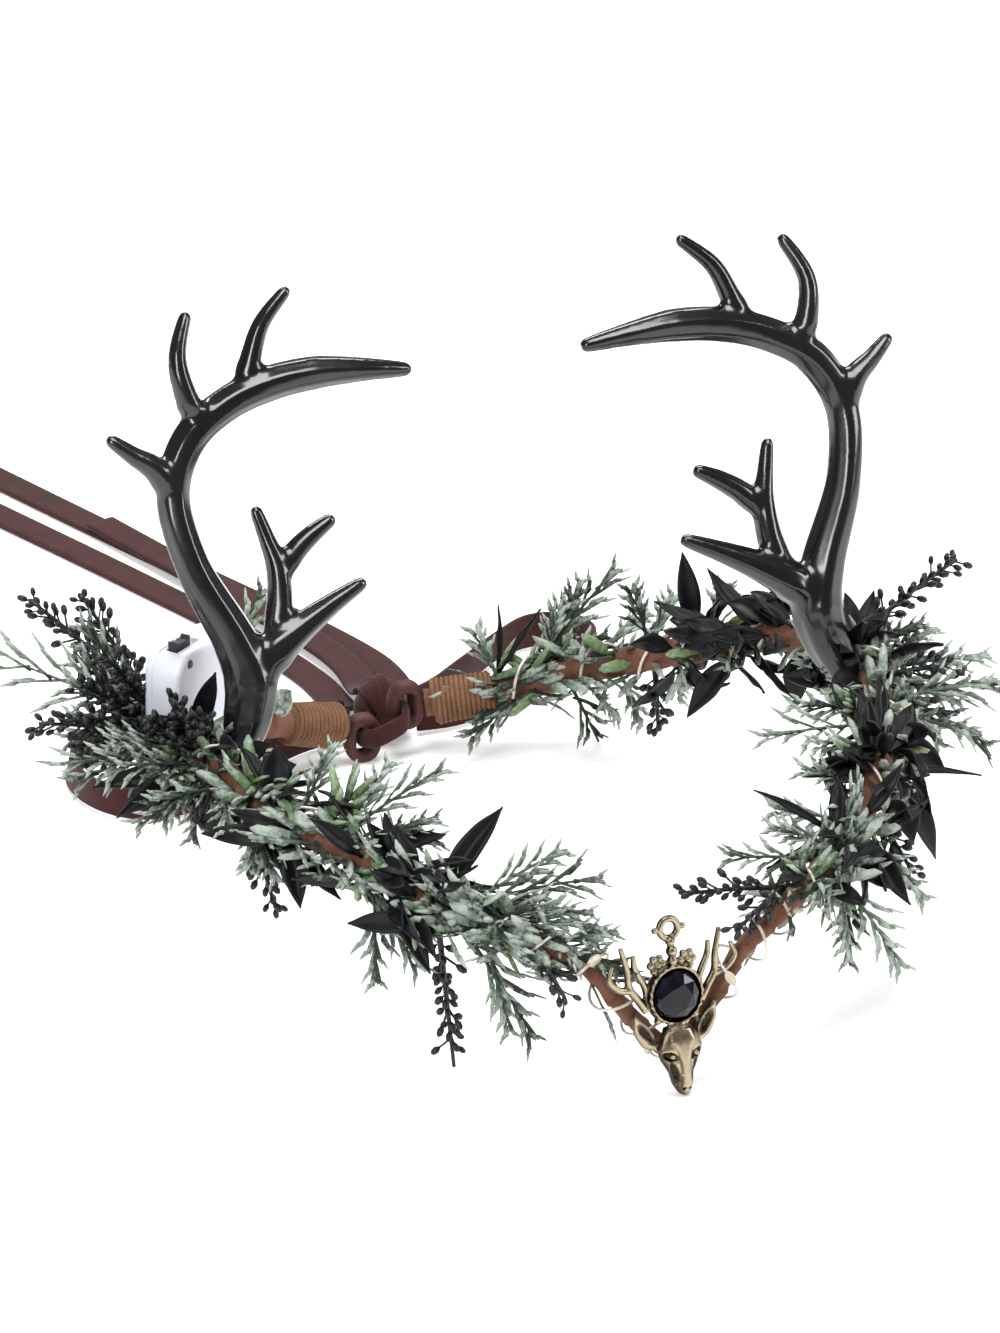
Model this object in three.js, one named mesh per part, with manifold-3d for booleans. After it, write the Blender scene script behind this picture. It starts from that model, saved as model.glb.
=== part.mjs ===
// Antler headpiece: a suede-wrapped wire ring with a V front, two black antlers, a garland of sprays,
// a bronze stag charm, the battery box of its string of lights, and a suede ribbon tie at the back.
// Millimetres, +Z up, the front of the crown faces -Y, and it stands on Z = 0.
import * as THREE from 'three';
import { mergeVertices } from 'three/addons/utils/BufferGeometryUtils.js';
import Module from 'manifold-3d';

const wasm = await Module();
wasm.setup();
const V = (x, y, z) => new THREE.Vector3(x, y, z);

// Driving dimensions
const RING_X = 2.6;
const RING_Y = 3.4;
const RING_HALF_WIDTH = 80;
const RING_HALF_LENGTH = 100;
const BAND_DIAMETER = 6.5;
const FRONT = { diameter: 4.2, taper_from: 146, taper_to: 164 };
const GAP = 0.3;
const END_ANGLE = 7.3;
const RIBBON_WIDTH = 8;
const RIBBON_THICKNESS = 1.2;
const LEAF_THICKNESS = 1.1;

// Height of the band's centre line by angle round the ring, 0 at the back and 180 at the front
const BAND_RISE = [
  { angle: 0, z: 8.4 },
  { angle: 20, z: 14.6 },
  { angle: 42, z: 27 },
  { angle: 73, z: 47 },
  { angle: 97, z: 54 },
  { angle: 130, z: 48.5 },
  { angle: 142, z: 41.5 },
  { angle: 156, z: 37 },
  { angle: 167, z: 28.5 },
  { angle: 174, z: 15.5 },
  { angle: 180, z: 8 },
];
const END_LIFT = 2;
const END_LIFT_FADE = 26;

const material = (color, roughness, metalness = 0) =>
  new THREE.MeshStandardMaterial({ color, roughness, metalness });
const SUEDE = material(0x8c5037, 0.9);
const LEATHER = material(0x552d2a, 0.75);
const TWINE = material(0xaa7850, 0.9);
const ANTLER_BLACK = material(0x141418, 0.25);
const BRONZE = material(0x967d4b, 0.4, 1);
const STONE_BLACK = material(0x0a0a12, 0.05);
const WHITE_PLASTIC = material(0xe4e6ee, 0.35);
const SWITCH_BLACK = material(0x202024, 0.5);
const RIBBON_SUEDE = material(0x70443e, 0.9);
const FROSTED_GREEN = material(0x5f7d5f, 0.8);
const LEAF_BLACK = material(0x19191e, 0.4);
const BERRY_BLACK = material(0x1c1e24, 0.6);

// A closed mesh as a solid that can be joined and cut
function toSolid(geometry) {
  const bare = geometry.clone();
  for (const key of Object.keys(bare.attributes)) {
    if (key !== 'position') bare.deleteAttribute(key);
  }
  const merged = mergeVertices(bare, 1e-4);
  const index = merged.index.array;
  const faces = [];
  for (let i = 0; i < index.length; i += 3) {
    const [a, b, c] = [index[i], index[i + 1], index[i + 2]];
    if (a !== b && b !== c && c !== a) faces.push(a, b, c);
  }
  const vertProperties = Float32Array.from(merged.attributes.position.array);
  return new wasm.Manifold(
    new wasm.Mesh({ numProp: 3, vertProperties, triVerts: Uint32Array.from(faces) }),
  );
}

function toGeometry(solid) {
  const mesh = solid.getMesh();
  const geometry = new THREE.BufferGeometry();
  geometry.setAttribute('position', new THREE.BufferAttribute(mesh.vertProperties, 3));
  geometry.setIndex(new THREE.BufferAttribute(mesh.triVerts, 1));
  geometry.computeVertexNormals();
  return geometry;
}

const join = (solids) => solids.reduce((whole, solid) => whole.add(solid));

// The largest body of a cut solid
function mainBody(solid) {
  const bodies = solid.decompose();
  return bodies.reduce((best, body) => (body.volume() > best.volume() ? body : best));
}

// A tube bent along a curve: sizeAt(t) gives the half width and half thickness of its section
function sweep(curve, { sides, steps, sizeAt, up = V(0, 0, 1) }) {
  const tube = new THREE.CylinderGeometry(1, 1, 1, sides, steps);
  const position = tube.attributes.position;
  for (let i = 0; i < position.count; i += 1) {
    const t = THREE.MathUtils.clamp(position.getY(i) + 0.5, 0, 1);
    const point = curve.getPoint(t);
    const along = curve.getTangent(t);
    const rise = up.clone().addScaledVector(along, -up.dot(along)).normalize();
    const side = along.clone().cross(rise);
    const [width, thickness] = sizeAt(t);
    point.addScaledVector(side, position.getX(i) * width);
    point.addScaledVector(rise, position.getZ(i) * thickness);
    position.setXYZ(i, point.x, point.y, point.z);
  }
  return toSolid(tube);
}

// A round tapering limb through rows of x, y, z and diameter
function limb(rows, { sides, steps, mirror = 1, grow = 0, up = V(0.3, -1, 0.2) }) {
  const curve = new THREE.CatmullRomCurve3(rows.map((row) => V(row.x * mirror, row.y, row.z)));
  const last = rows.length - 1;
  const sizeAt = (t) => {
    const step = Math.min(Math.floor(t * last), last - 1);
    const radius = THREE.MathUtils.lerp(rows[step].d, rows[step + 1].d, t * last - step) / 2;
    return [radius + grow, radius + grow];
  };
  return sweep(curve, { sides, steps, sizeAt, up });
}

// Height of the band at a signed angle: positive on the right, negative on the left
function bandHeight(angle) {
  const size = Math.abs(angle);
  const next = Math.max(BAND_RISE.findIndex((row) => row.angle >= size), 1);
  const [low, high] = [BAND_RISE[next - 1], BAND_RISE[next]];
  const share = (size - low.angle) / (high.angle - low.angle);
  const lift = Math.max(0, 1 - size / END_LIFT_FADE) * END_LIFT * Math.sign(angle);
  return THREE.MathUtils.lerp(low.z, high.z, share) + lift;
}

function bandPoint(angle) {
  const turn = THREE.MathUtils.degToRad(angle);
  return V(RING_HALF_WIDTH * Math.sin(turn), RING_HALF_LENGTH * Math.cos(turn), bandHeight(angle));
}

// Band: one wrapped wire from the right eyelet round the front to the left eyelet
const BAND_STATIONS = [END_ANGLE, 20, 32, 42, 57, 73, 85, 97, 113, 130, 142, 149, 156, 162, 167, 171, 175];
function bandCurve() {
  const right = BAND_STATIONS.map((angle) => bandPoint(angle));
  const left = BAND_STATIONS.map((angle) => bandPoint(-angle)).reverse();
  return new THREE.CatmullRomCurve3([...right, bandPoint(180), ...left], false, 'centripetal');
}

// Half thickness of the band at a signed angle: it thins towards the V at the front
function bandRadius(angle) {
  const share = THREE.MathUtils.smoothstep(Math.abs(angle), FRONT.taper_from, FRONT.taper_to);
  return THREE.MathUtils.lerp(BAND_DIAMETER, FRONT.diameter, share) / 2;
}

function makeBand(grow) {
  const curve = bandCurve();
  const sizeAt = (t) => {
    const { x, y } = curve.getPoint(t);
    const turn = Math.atan2(x / RING_HALF_WIDTH, y / RING_HALF_LENGTH);
    const radius = bandRadius(THREE.MathUtils.radToDeg(turn)) + grow;
    return [radius, radius];
  };
  return sweep(curve, { sides: 7, steps: 42, sizeAt });
}

// Antlers: rows of points along each beam and tine, for the right side
const row = (x, y, z, d) => ({ x, y, z, d });
const ANTLER_LIMBS = {
  beam: [
    row(74.6, -12.4, 50.6, 4), row(73.2, -12, 55.5, 7.4), row(70.2, -10.4, 63, 10.4),
    row(68.6, -8.2, 71, 11.6), row(71.2, -5, 80, 9.6), row(79, 3, 97, 7.4), row(81, 10.5, 112, 7.2),
    row(75.5, 15.5, 122.5, 7.6), row(65.6, 19, 128.3, 7.4),
    row(55.3, 20, 131.6, 7.6), row(43.6, 20.3, 132.8, 7), row(31.7, 19.4, 132.4, 4.8),
    row(21.5, 19.6, 131, 2.6), row(20.5, 19.6, 130.8, 1.2),
  ],
  outer: [
    row(79.8, 7, 105, 6.2), row(84, 11.5, 117, 5.6), row(89.5, 14, 121, 3.8), row(94, 16.5, 124.3, 2.6),
    row(94.8, 17, 125, 1.4),
  ],
  upper: [
    row(72, 16.5, 124, 7.4), row(75.2, 18, 132, 4.8), row(76.2, 21.6, 140, 3.8), row(72.4, 27.4, 147.6, 2.6),
    row(71.7, 28, 148.5, 1.4),
  ],
  inner: [
    row(61.5, 19.4, 129.5, 7), row(58.4, 22.6, 136.5, 4.6), row(54.8, 25.4, 144.2, 3.6),
    row(48, 28.6, 150.2, 2.5), row(47.1, 29, 151, 1.4),
  ],
  brow: [
    row(68.4, -8.6, 69.6, 10.4), row(63, -7.2, 76.8, 9), row(56, -5, 81, 6.6), row(47, -2, 85, 4.4),
    row(39.2, 0.4, 88, 2.6), row(38.2, 0.7, 88.4, 1.4),
  ],
  brow_outer: [
    row(64, -6.5, 76, 7.4), row(60, -2.2, 84, 5.8), row(58.9, 1.6, 93.5, 4.8), row(60.4, 5.2, 100, 3.4),
    row(62, 8.3, 105.8, 2.5), row(62.3, 8.9, 106.8, 1.3),
  ],
  brow_inner: [
    row(59.4, 0, 90, 5), row(54.8, 3.4, 95.8, 4.8), row(49.4, 5.4, 99.5, 4), row(44.3, 6.9, 102, 2.6),
    row(43.5, 7.1, 102.4, 1.3),
  ],
};
function makeAntler(mirror, grow) {
  const limbs = Object.entries(ANTLER_LIMBS).map(([name, rows]) => {
    const [sides, steps] = name === 'beam' ? [6, 14] : [5, 4];
    return limb(rows, { sides, steps, mirror, grow });
  });
  return join(limbs);
}

// Eyelets and twine whippings at the two ends of the band
const EYELET = { width: 9, height: 11.4, depth: 4.4, corner: 3, hole_width: 3.4, hole_height: 6.6 };
const EYELET_X = 5.3;
const EYELET_Y = 99;
const WHIPPING = { length: 15, turns: 4, bore: BAND_DIAMETER + 1.7, neck: 11.2, tail: 10.2, groove: 0.5 };

function roundedOutline(Target, width, height, corner) {
  const [w, h, r] = [width / 2, height / 2, corner];
  const outline = new Target();
  outline.absarc(w - r, h - r, r, 0, Math.PI / 2);
  outline.absarc(r - w, h - r, r, Math.PI / 2, Math.PI);
  outline.absarc(r - w, r - h, r, Math.PI, 1.5 * Math.PI);
  outline.absarc(w - r, r - h, r, 1.5 * Math.PI, 2 * Math.PI);
  return outline;
}

function makeEyelet(side, grow = 0) {
  const outline = roundedOutline(
    THREE.Shape, EYELET.width + 2 * grow, EYELET.height + 2 * grow, EYELET.corner + grow,
  );
  const hole_width = EYELET.hole_width - 2 * grow;
  outline.holes.push(
    roundedOutline(THREE.Path, hole_width, EYELET.hole_height - 2 * grow, hole_width / 2 - 0.01),
  );
  const depth = EYELET.depth + 2 * grow;
  const ring = new THREE.ExtrudeGeometry(outline, { depth, bevelEnabled: false, curveSegments: 2 });
  ring.translate(0, 0, -depth / 2).rotateX(Math.PI / 2);
  const z = side < 0 ? EYELET.height / 2 : bandHeight(END_ANGLE) + 0.4;
  ring.translate(side * EYELET_X, EYELET_Y, z);
  return toSolid(ring);
}

function makeWhipping(side) {
  const { length, turns, bore, neck, tail, groove } = WHIPPING;
  const profile = [new THREE.Vector2(bore / 2, 0)];
  for (let turn = 0; turn < turns; turn += 1) {
    const radius = THREE.MathUtils.lerp(neck, tail, turn / (turns - 1)) / 2;
    profile.push(new THREE.Vector2(radius - groove, (turn * length) / turns));
    profile.push(new THREE.Vector2(radius, ((turn + 0.5) * length) / turns));
  }
  profile.push(new THREE.Vector2(tail / 2 - groove, length), new THREE.Vector2(bore / 2, length));
  profile.push(profile[0].clone());
  const sleeve = new THREE.LatheGeometry(profile, 7);
  const start = bandPoint(side * END_ANGLE);
  const along = bandPoint(side * (END_ANGLE + 11)).sub(start).normalize();
  sleeve.applyQuaternion(new THREE.Quaternion().setFromUnitVectors(V(0, 1, 0), along));
  start.addScaledVector(along, 5 * GAP);
  sleeve.translate(start.x, start.y, start.z);
  return toSolid(sleeve);
}

// Stag charm, drawn upright from the muzzle tip: x across, y up, z out of its face
const CHARM_SEAT = V(0, -106.6, 0.3);
const CHARM_LEAN = THREE.MathUtils.degToRad(8);
const CHARM_YAW = THREE.MathUtils.degToRad(10);
const STONE = { diameter: 11.6, y: 22.8, z: 1.6, crown: 2.6, table: 0.5 };
const BEZEL = { outer: 14, inner: STONE.diameter + 2 * GAP, back: -1, front: 2.2, floor: 0.9 };
const CHARM_WIRE = 1.7;
const CHARM_ANTLER = {
  stem: [row(-7, 20, 0, 2.2), row(-9, 23, 0, 2), row(-11, 26, 0, 1.9), row(-11.4, 30, 0.2, 1.7),
    row(-12.8, 36, 0.3, 1.3)],
  outer: [row(-10.6, 25.4, 0, 1.9), row(-14, 26.4, 0.3, 1.7), row(-16.3, 29, 0.4, 1.5),
    row(-15.4, 32.2, 0.4, 1.2)],
  inner: [row(-6.6, 21, 0, 2), row(-6.9, 25.2, 0, 1.8), row(-9.4, 30.4, 0.1, 1.6), row(-9.7, 33.6, 0.3, 1.2)],
};
const CHARM_EAR = [row(-4.6, 10.5, 0, 1.2), row(-7.2, 13, 0, 4.2), row(-9, 16, 0, 4), row(-10.4, 19.2, 0, 0.8)];
const CHARM_HEAD = [
  { y: 0.2, width: 2.6, front: 3.6 }, { y: 1.6, width: 4.4, front: 4.6 }, { y: 4.6, width: 6, front: 4.6 },
  { y: 8, width: 10, front: 4.4 }, { y: 10.6, width: 11.6, front: 4.6 }, { y: 13.6, width: 9, front: 4.2 },
  { y: 15.6, width: 6.4, front: 2.6 },
];
const CHARM_STEM = [row(0, 28.6, 0.5, 1.8), row(0, 32.4, 0.6, 1.6), row(0, 36.2, 0, 1.5)];
const CHARM_BEADS = [
  { x: 0, y: 30.8, z: 0.9, d: 2.6 }, { x: 0, y: 33, z: 0.8, d: 2.8 }, { x: 0, y: 35.2, z: 0.4, d: 2.4 },
  { x: 3.6, y: 38.2, z: 0, d: 1.6 }, { x: -3.6, y: 38.2, z: 0, d: 1.6 },
  { x: 4.9, y: 17.4, z: 1, d: 1.8 }, { x: -4.9, y: 17.4, z: 1, d: 1.8 },
];
const CHARM_ROSETTE = { x: 3.9, y: 30.4, z: 0.5, core: 2.6, reach: 2.6, dip: 1.9, depth: 1.8, petals: 4 };
const CHARM_RING = { y: 38.2, diameter: 4.6 };

const bead = (d, x, y, z) => new THREE.SphereGeometry(d / 2, 4, 3).translate(x, y, z);

function charmHead() {
  const curve = new THREE.CatmullRomCurve3(CHARM_HEAD.map((part) => V(0, part.y, part.front / 2 - 0.9)));
  const last = CHARM_HEAD.length - 1;
  const sizeAt = (t) => {
    const step = Math.min(Math.floor(t * last), last - 1);
    const [low, high] = [CHARM_HEAD[step], CHARM_HEAD[step + 1]];
    const share = t * last - step;
    const depth = THREE.MathUtils.lerp(low.front, high.front, share) + 1.8;
    return [THREE.MathUtils.lerp(low.width, high.width, share) / 2, depth / 2];
  };
  return sweep(curve, { sides: 8, steps: 6, sizeAt });
}

function flatLimb(rows, mirror, thickness) {
  const curve = new THREE.CatmullRomCurve3(rows.map((part) => V(part.x * mirror, part.y, part.z)));
  const last = rows.length - 1;
  const sizeAt = (t) => {
    const step = Math.min(Math.floor(t * last), last - 1);
    const width = THREE.MathUtils.lerp(rows[step].d, rows[step + 1].d, t * last - step);
    return [width / 2, thickness / 2];
  };
  return sweep(curve, { sides: 4, steps: 4, sizeAt });
}

function charmRosette(mirror) {
  const { x, y, z, core, reach, dip, depth, petals } = CHARM_ROSETTE;
  const outline = [];
  for (let step = 0; step < 2 * petals; step += 1) {
    const turn = (step / petals) * Math.PI;
    const radius = step % 2 ? dip : reach;
    outline.push(new THREE.Vector2(radius * Math.cos(turn), radius * Math.sin(turn)));
  }
  const flower = new THREE.ExtrudeGeometry(new THREE.Shape(outline), { depth, bevelEnabled: false, steps: 1 });
  flower.translate(mirror * x, y, z - depth / 2);
  return [toSolid(flower), toSolid(bead(core, mirror * x, y, z + depth / 4))];
}

function charmSide(mirror) {
  const prongs = Object.values(CHARM_ANTLER).map((rows) =>
    limb(rows, { sides: 4, steps: 4, mirror, up: V(0, 0, 1) }));
  return join([...prongs, flatLimb(CHARM_EAR, mirror, 1.6), ...charmRosette(mirror)]);
}

function charmBezel() {
  const { outer, inner, back, front, floor } = BEZEL;
  const profile = [[0, back], [outer / 2 - 0.6, back], [outer / 2, 0], [outer / 2, front - 0.8],
    [outer / 2 - 0.5, front], [inner / 2, front], [inner / 2, floor - GAP], [0, floor - GAP]];
  const cup = new THREE.LatheGeometry(profile.map(([x, y]) => new THREE.Vector2(x, y)), 12);
  cup.rotateX(Math.PI / 2).translate(0, STONE.y, 0);
  return toSolid(cup);
}

function makeCharm() {
  const ring = new THREE.TorusGeometry(CHARM_RING.diameter / 2, CHARM_WIRE / 2, 4, 8);
  ring.translate(0, CHARM_RING.y, 0);
  const beads = CHARM_BEADS.map((part) => toSolid(bead(part.d, part.x, part.y, part.z)));
  const stem = limb(CHARM_STEM, { sides: 4, steps: 2, mirror: 1, up: V(0, 0, 1) });
  return join([charmBezel(), charmHead(), charmSide(1), charmSide(-1), toSolid(ring), stem, ...beads]);
}

// Cut stone: table, a ring of facets and a girdle that sits in the bezel
function makeStone() {
  const radius = STONE.diameter / 2;
  const profile = [[0, BEZEL.floor], [radius - 0.6, BEZEL.floor], [radius, STONE.z], [radius * 0.82, STONE.z + 1.4],
    [radius * STONE.table, STONE.z + STONE.crown], [0, STONE.z + STONE.crown]];
  const gem = new THREE.LatheGeometry(profile.map(([x, y]) => new THREE.Vector2(x, y)), 12);
  gem.rotateX(Math.PI / 2).translate(0, STONE.y, 0);
  return toSolid(gem);
}

// Battery box of the string of lights, with a slide switch in a slot on its top
const BOX = { width: 26, height: 20.4, depth: 10, corner: 5, bevel: 1.4 };
const BOX_SEAT = V(-75.6, 13.5, 53.7 + BOX.height / 2);
const BOX_YAW = THREE.MathUtils.degToRad(38);
const SLOT = { length: 9.4, width: 3, depth: 1.2, offset: -4 };
const SWITCH = { length: 5.6, width: 2.3, height: 3 };
const SWITCH_START = -1.6;

function placeOnBox(geometry) {
  return geometry.rotateZ(BOX_YAW).translate(BOX_SEAT.x, BOX_SEAT.y, BOX_SEAT.z);
}

function makeLightBox(grow = 0) {
  const inset = 2 * BOX.bevel;
  const outline = roundedOutline(
    THREE.Shape, BOX.width - inset + 2 * grow, BOX.height - inset + 2 * grow, BOX.corner - BOX.bevel,
  );
  const depth = BOX.depth - inset + 2 * grow;
  const shell = new THREE.ExtrudeGeometry(outline, {
    depth, bevelSize: BOX.bevel, bevelThickness: BOX.bevel, bevelSegments: 1, curveSegments: 2,
  });
  shell.translate(0, 0, -depth / 2).rotateX(Math.PI / 2);
  const body = toSolid(placeOnBox(shell));
  if (grow > 0) return body;
  const slot = new THREE.BoxGeometry(SLOT.length, SLOT.width, 2 * SLOT.depth);
  slot.translate(SLOT.offset, 0, BOX.height / 2);
  return body.subtract(toSolid(placeOnBox(slot)));
}

function makeSwitch() {
  const knob = new THREE.BoxGeometry(SWITCH.length, SWITCH.width, SWITCH.height);
  const z = BOX.height / 2 - SLOT.depth + GAP + SWITCH.height / 2;
  knob.translate(SLOT.offset + SWITCH_START, 0, z);
  return toSolid(placeOnBox(knob));
}

// Ribbon tie: flat suede lace, its routes chosen by hand on the surface
const KNOT = V(3.5, 111.5, 7.2);
const TIE_ROUTES = {
  tie_loop_left: {
    on_edge: true,
    points: [[-5, 109, 5], [-18, 105.6, 4.6], [-38, 93, 4.6], [-55, 81, 4.6], [-66, 81.5, 4.6], [-73.5, 90, 4.6],
      [-75, 103, 4.6], [-70, 115, 4.6], [-56, 121.5, 4.6], [-34, 121, 4.6], [-16, 117.5, 4.6], [-4.4, 114, 5]],
  },
  tie_loop_right: {
    on_edge: true,
    points: [[11.8, 109, 5], [22, 110.5, 4.6], [36, 115.5, 4.6], [50, 122, 4.6], [61, 130, 4.6], [66, 139, 4.6],
      [63, 147, 4.6], [54, 149.5, 4.6], [43, 143, 4.6], [31, 131, 4.6], [20, 120.5, 4.6], [11.4, 114.6, 5]],
  },
  tie_tail_lower: {
    points: [[-1.6, 118.8, 4.6], [-1.4, 124, 2.4], [-0.6, 132, 0.8], [-1, 146, 0.7], [-8, 178, 0.7], [-21, 217, 0.7],
      [-41.9, 275.4, 0.7]],
  },
  tie_tail_upper: {
    points: [[8.4, 118.2, 4.6], [12, 124, 2.4], [15.4, 133, 0.8], [16, 150, 0.7], [10.5, 172, 0.7], [-3, 208, 0.7],
      [-17, 246, 0.7], [-34.6, 296.4, 0.7]],
  },
  tie_tail_cut: {
    points: [[3.6, 119.2, 8.4], [5.2, 126, 5], [7, 135, 2.6], [8, 148, 2.3], [6, 163, 2.3], [-4, 199, 2.3],
      [-19, 251, 2.3]],
  },
};
const TIE_STEPS = 2;

function makeTie({ points, on_edge }) {
  const curve = new THREE.CatmullRomCurve3(points.map(([x, y, z]) => V(x, y, z)));
  const strip = new THREE.BoxGeometry(1, 1, 1, 1, 1, TIE_STEPS * (points.length - 1));
  const [wide, high] = on_edge ? [RIBBON_THICKNESS, RIBBON_WIDTH] : [RIBBON_WIDTH, RIBBON_THICKNESS];
  const position = strip.attributes.position;
  for (let i = 0; i < position.count; i += 1) {
    const t = THREE.MathUtils.clamp(0.5 - position.getZ(i), 0, 1);
    const point = curve.getPoint(t);
    const along = curve.getTangent(t);
    const side = along.clone().cross(V(0, 0, 1)).normalize();
    point.addScaledVector(side, position.getX(i) * wide);
    point.z += position.getY(i) * high;
    position.setXYZ(i, point.x, point.y, point.z);
  }
  return toSolid(strip);
}

// The knot with the lace that passes through both eyelets and across their front
const KNOT_SIZE = V(7.6, 7.4, 6.6);
const LACE_ROUTE = [[6, 107, 9.5], [5.3, 103, 10.4], [5.3, 99, 10.6], [3.6, 95, 9.8], [0, 94.2, 8.4],
  [-3.6, 95, 6.8], [-5.4, 99, 5.8], [-4.6, 103, 5.8], [-1, 107, 6.4]];
const LACE = { width: 4.6, thickness: 1.8 };

function makeKnot() {
  const ball = new THREE.SphereGeometry(1, 8, 5);
  ball.scale(KNOT_SIZE.x, KNOT_SIZE.y, KNOT_SIZE.z).translate(KNOT.x, KNOT.y, KNOT.z);
  const lace = new THREE.CatmullRomCurve3(LACE_ROUTE.map(([x, y, z]) => V(x, y, z)));
  const sizeAt = () => [LACE.thickness / 2, LACE.width / 2];
  return join([toSolid(ball), sweep(lace, { sides: 4, steps: 10, sizeAt })]);
}

// Garland: each shoot grows from the band at an angle round the ring and reaches right, back and up
const shoot = (node, kind, angle, right, back, up, size = 0) => ({ node, kind, angle, right, back, up, size });
const GARLAND = [
  shoot('leaf_left_low', 'leaf', -95, -23, -4, -10, 8),
  shoot('leaf_left_low', 'leaf', -95, -26.5, 3, -4, 7),
  shoot('leaf_left_low', 'leaf', -95, -9, -12, -15, 6),
  shoot('leaf_front_left_low', 'leaf', -117, -2, -10, -16, 8),
  shoot('leaf_front_left_low', 'leaf', -117, 5, -15, -14, 7),
  shoot('leaf_front_left_round', 'leaf', -112, 3, 4, 14, 10),
  shoot('leaf_front_left_in', 'leaf', -129, 20.5, -2, 3, 7),
  shoot('leaf_front_left_up', 'leaf', -142, 18, 4, 20, 8),
  shoot('leaf_front_left_down', 'leaf', -137, 1.5, -14, -16, 7),
  shoot('leaf_pale', 'leaf', -24, 7, -5, 8, 9),
  shoot('leaf_right_base', 'leaf', 90, 12, 9, 7, 8),
  shoot('leaf_right_base', 'leaf', 90, -11, -14, 7, 8),
  shoot('leaf_right_low', 'leaf', 121, 5, -8, -18.5, 10),
  shoot('leaf_right_low', 'leaf', 121, 12, -6, -24, 9),
  shoot('leaf_right_low', 'leaf', 121, 23, -1, -6, 2.4),
  shoot('leaf_right_in', 'leaf', 125, -20, -4, 3.5, 8),
  shoot('leaf_front_right_thin', 'leaf', 141, -20.6, 4, 15, 3),
  shoot('leaf_front_right_low', 'leaf', 138, 9.5, -10, -16, 7),
  shoot('leaf_back_tall', 'leaf', 53, -2, 6, 22, 7),
  shoot('leaf_back_low', 'leaf', 60, -11, 2, -18, 8),
  shoot('leaf_back_top', 'leaf', 67, -7, 9, 7, 8),
  shoot('leaf_back_top', 'leaf', 67, 7, 9, 6, 8),
  shoot('leaf_back_hang', 'leaf', 72, 1, -2, -16, 8),
  shoot('leaf_back_thin', 'leaf', 20, 11, 4, 17.5, 2.2),
  shoot('leaf_back_thin', 'leaf', 20, 1.7, 6, 19, 2.2),
  shoot('berry_left_back', 'berry', -66, -30.7, 6, 32),
  shoot('berry_left_back', 'berry', -66, -17.4, 8, 30),
  shoot('berry_left_out', 'berry', -86, -37, -6, 13),
  shoot('berry_left_out', 'berry', -86, -6, -11, 16),
  shoot('berry_left_hang', 'berry', -106, 3, -12, -24),
  shoot('berry_front_left_hang', 'berry', -143, 4.3, 2.8, -40.95),
  shoot('berry_front_left_end', 'berry', -159, 2, -11, -9),
  shoot('berry_right_out', 'berry', 104, 12, -6, -3),
  shoot('berry_right_back', 'berry', 84, 34, 12, 14),
  shoot('berry_front_right_low', 'berry', 133, 9, -7, -15),
  shoot('berry_front_right_in', 'berry', 156, -24, 3, 3),
  shoot('berry_front_right_in', 'berry', 156, -16, -10, -1),
  shoot('berry_back_down', 'berry', 44, 4, 4, -20),
  shoot('spray_left_out', 'spray', -79, -37, 1, 22),
  shoot('spray_left_out', 'spray', -79, -25, -8, 17),
  shoot('spray_left_fan', 'spray', -101, -21, -8, -3.5),
  shoot('spray_left_low', 'spray', -108, -1.5, -16, -10),
  shoot('spray_left_behind', 'spray', -40, 14, 5, 24),
  shoot('spray_front_left_up', 'spray', -125, 13, 6, 13),
  shoot('spray_front_left_up', 'spray', -125, 22, 0, 14),
  shoot('spray_front_left_in', 'spray', -147, 28, -1, 5.5),
  shoot('spray_front_left_in', 'spray', -147, 22, 6, 9),
  shoot('spray_front_left_down', 'spray', -129, 7, -16, -18.5),
  shoot('spray_front_left_hang', 'spray', -148, 8, -14, -21),
  shoot('spray_front_left_end', 'spray', -155, 16, -4, 1),
  shoot('spray_right_out', 'spray', 100, 28.5, 0, -4.5),
  shoot('spray_right_out', 'spray', 100, 21, -10, -12),
  shoot('spray_right_up', 'spray', 94, 17, 7, 3.5),
  shoot('spray_right_in', 'spray', 112, -27, -4, 3.6),
  shoot('spray_front_right_in', 'spray', 148, -19.6, 0, 6),
  shoot('spray_front_right_down', 'spray', 146, 11, -12, -19),
  shoot('spray_front_right_down', 'spray', 146, -1, -14, -14),
  shoot('spray_back_up', 'spray', 26, 17, 4, 20.5),
  shoot('spray_back_up', 'spray', 26, 10, 7, 15),
  shoot('spray_back_down', 'spray', 30, 10, 4, -19.85),
];
const GARLAND_MATERIAL = { leaf: LEAF_BLACK, berry: BERRY_BLACK, spray: FROSTED_GREEN };
const FACING = V(-0.25, -0.6, 0.75);
const STEM = 1.3;
const ROOT_LIFT = 0.45;
const FAN_TILT = 0.5;
const LONE_START = 0.18;
const FORK_START = 0.36;
const SPRAY = { lobes: 3, reach: 0.4, sweep: 0.26, width: 2.2, bud: 1.4, thickness: 1.2 };
const BERRY = { lobes: 3, reach: 3.4, sweep: 0.09, width: 0.9, bud: 2.6, thickness: 2 };

// Where a bunch sits: on the side of the band that its shoots grow towards
function bunchRoot(shoots) {
  const { angle } = shoots[0];
  const root = bandPoint(angle);
  const along = bandPoint(angle + 1).sub(root).normalize();
  const way = V(0, 0, 0);
  for (const part of shoots) way.add(V(part.right, part.back, part.up));
  way.addScaledVector(along, -way.dot(along)).normalize();
  return root.addScaledVector(way, bandRadius(angle) + ROOT_LIFT);
}

// A stem from the bunch's root to the shoot's tip, bowed a little towards the way it faces
function shootCurve(root, { angle, right, back, up }) {
  const tip = bandPoint(angle).add(V(right, back, up));
  const middle = root.clone().lerp(tip, 0.5).addScaledVector(FACING, 0.1 * root.distanceTo(tip));
  return new THREE.QuadraticBezierCurve3(root, middle, tip);
}

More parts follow.
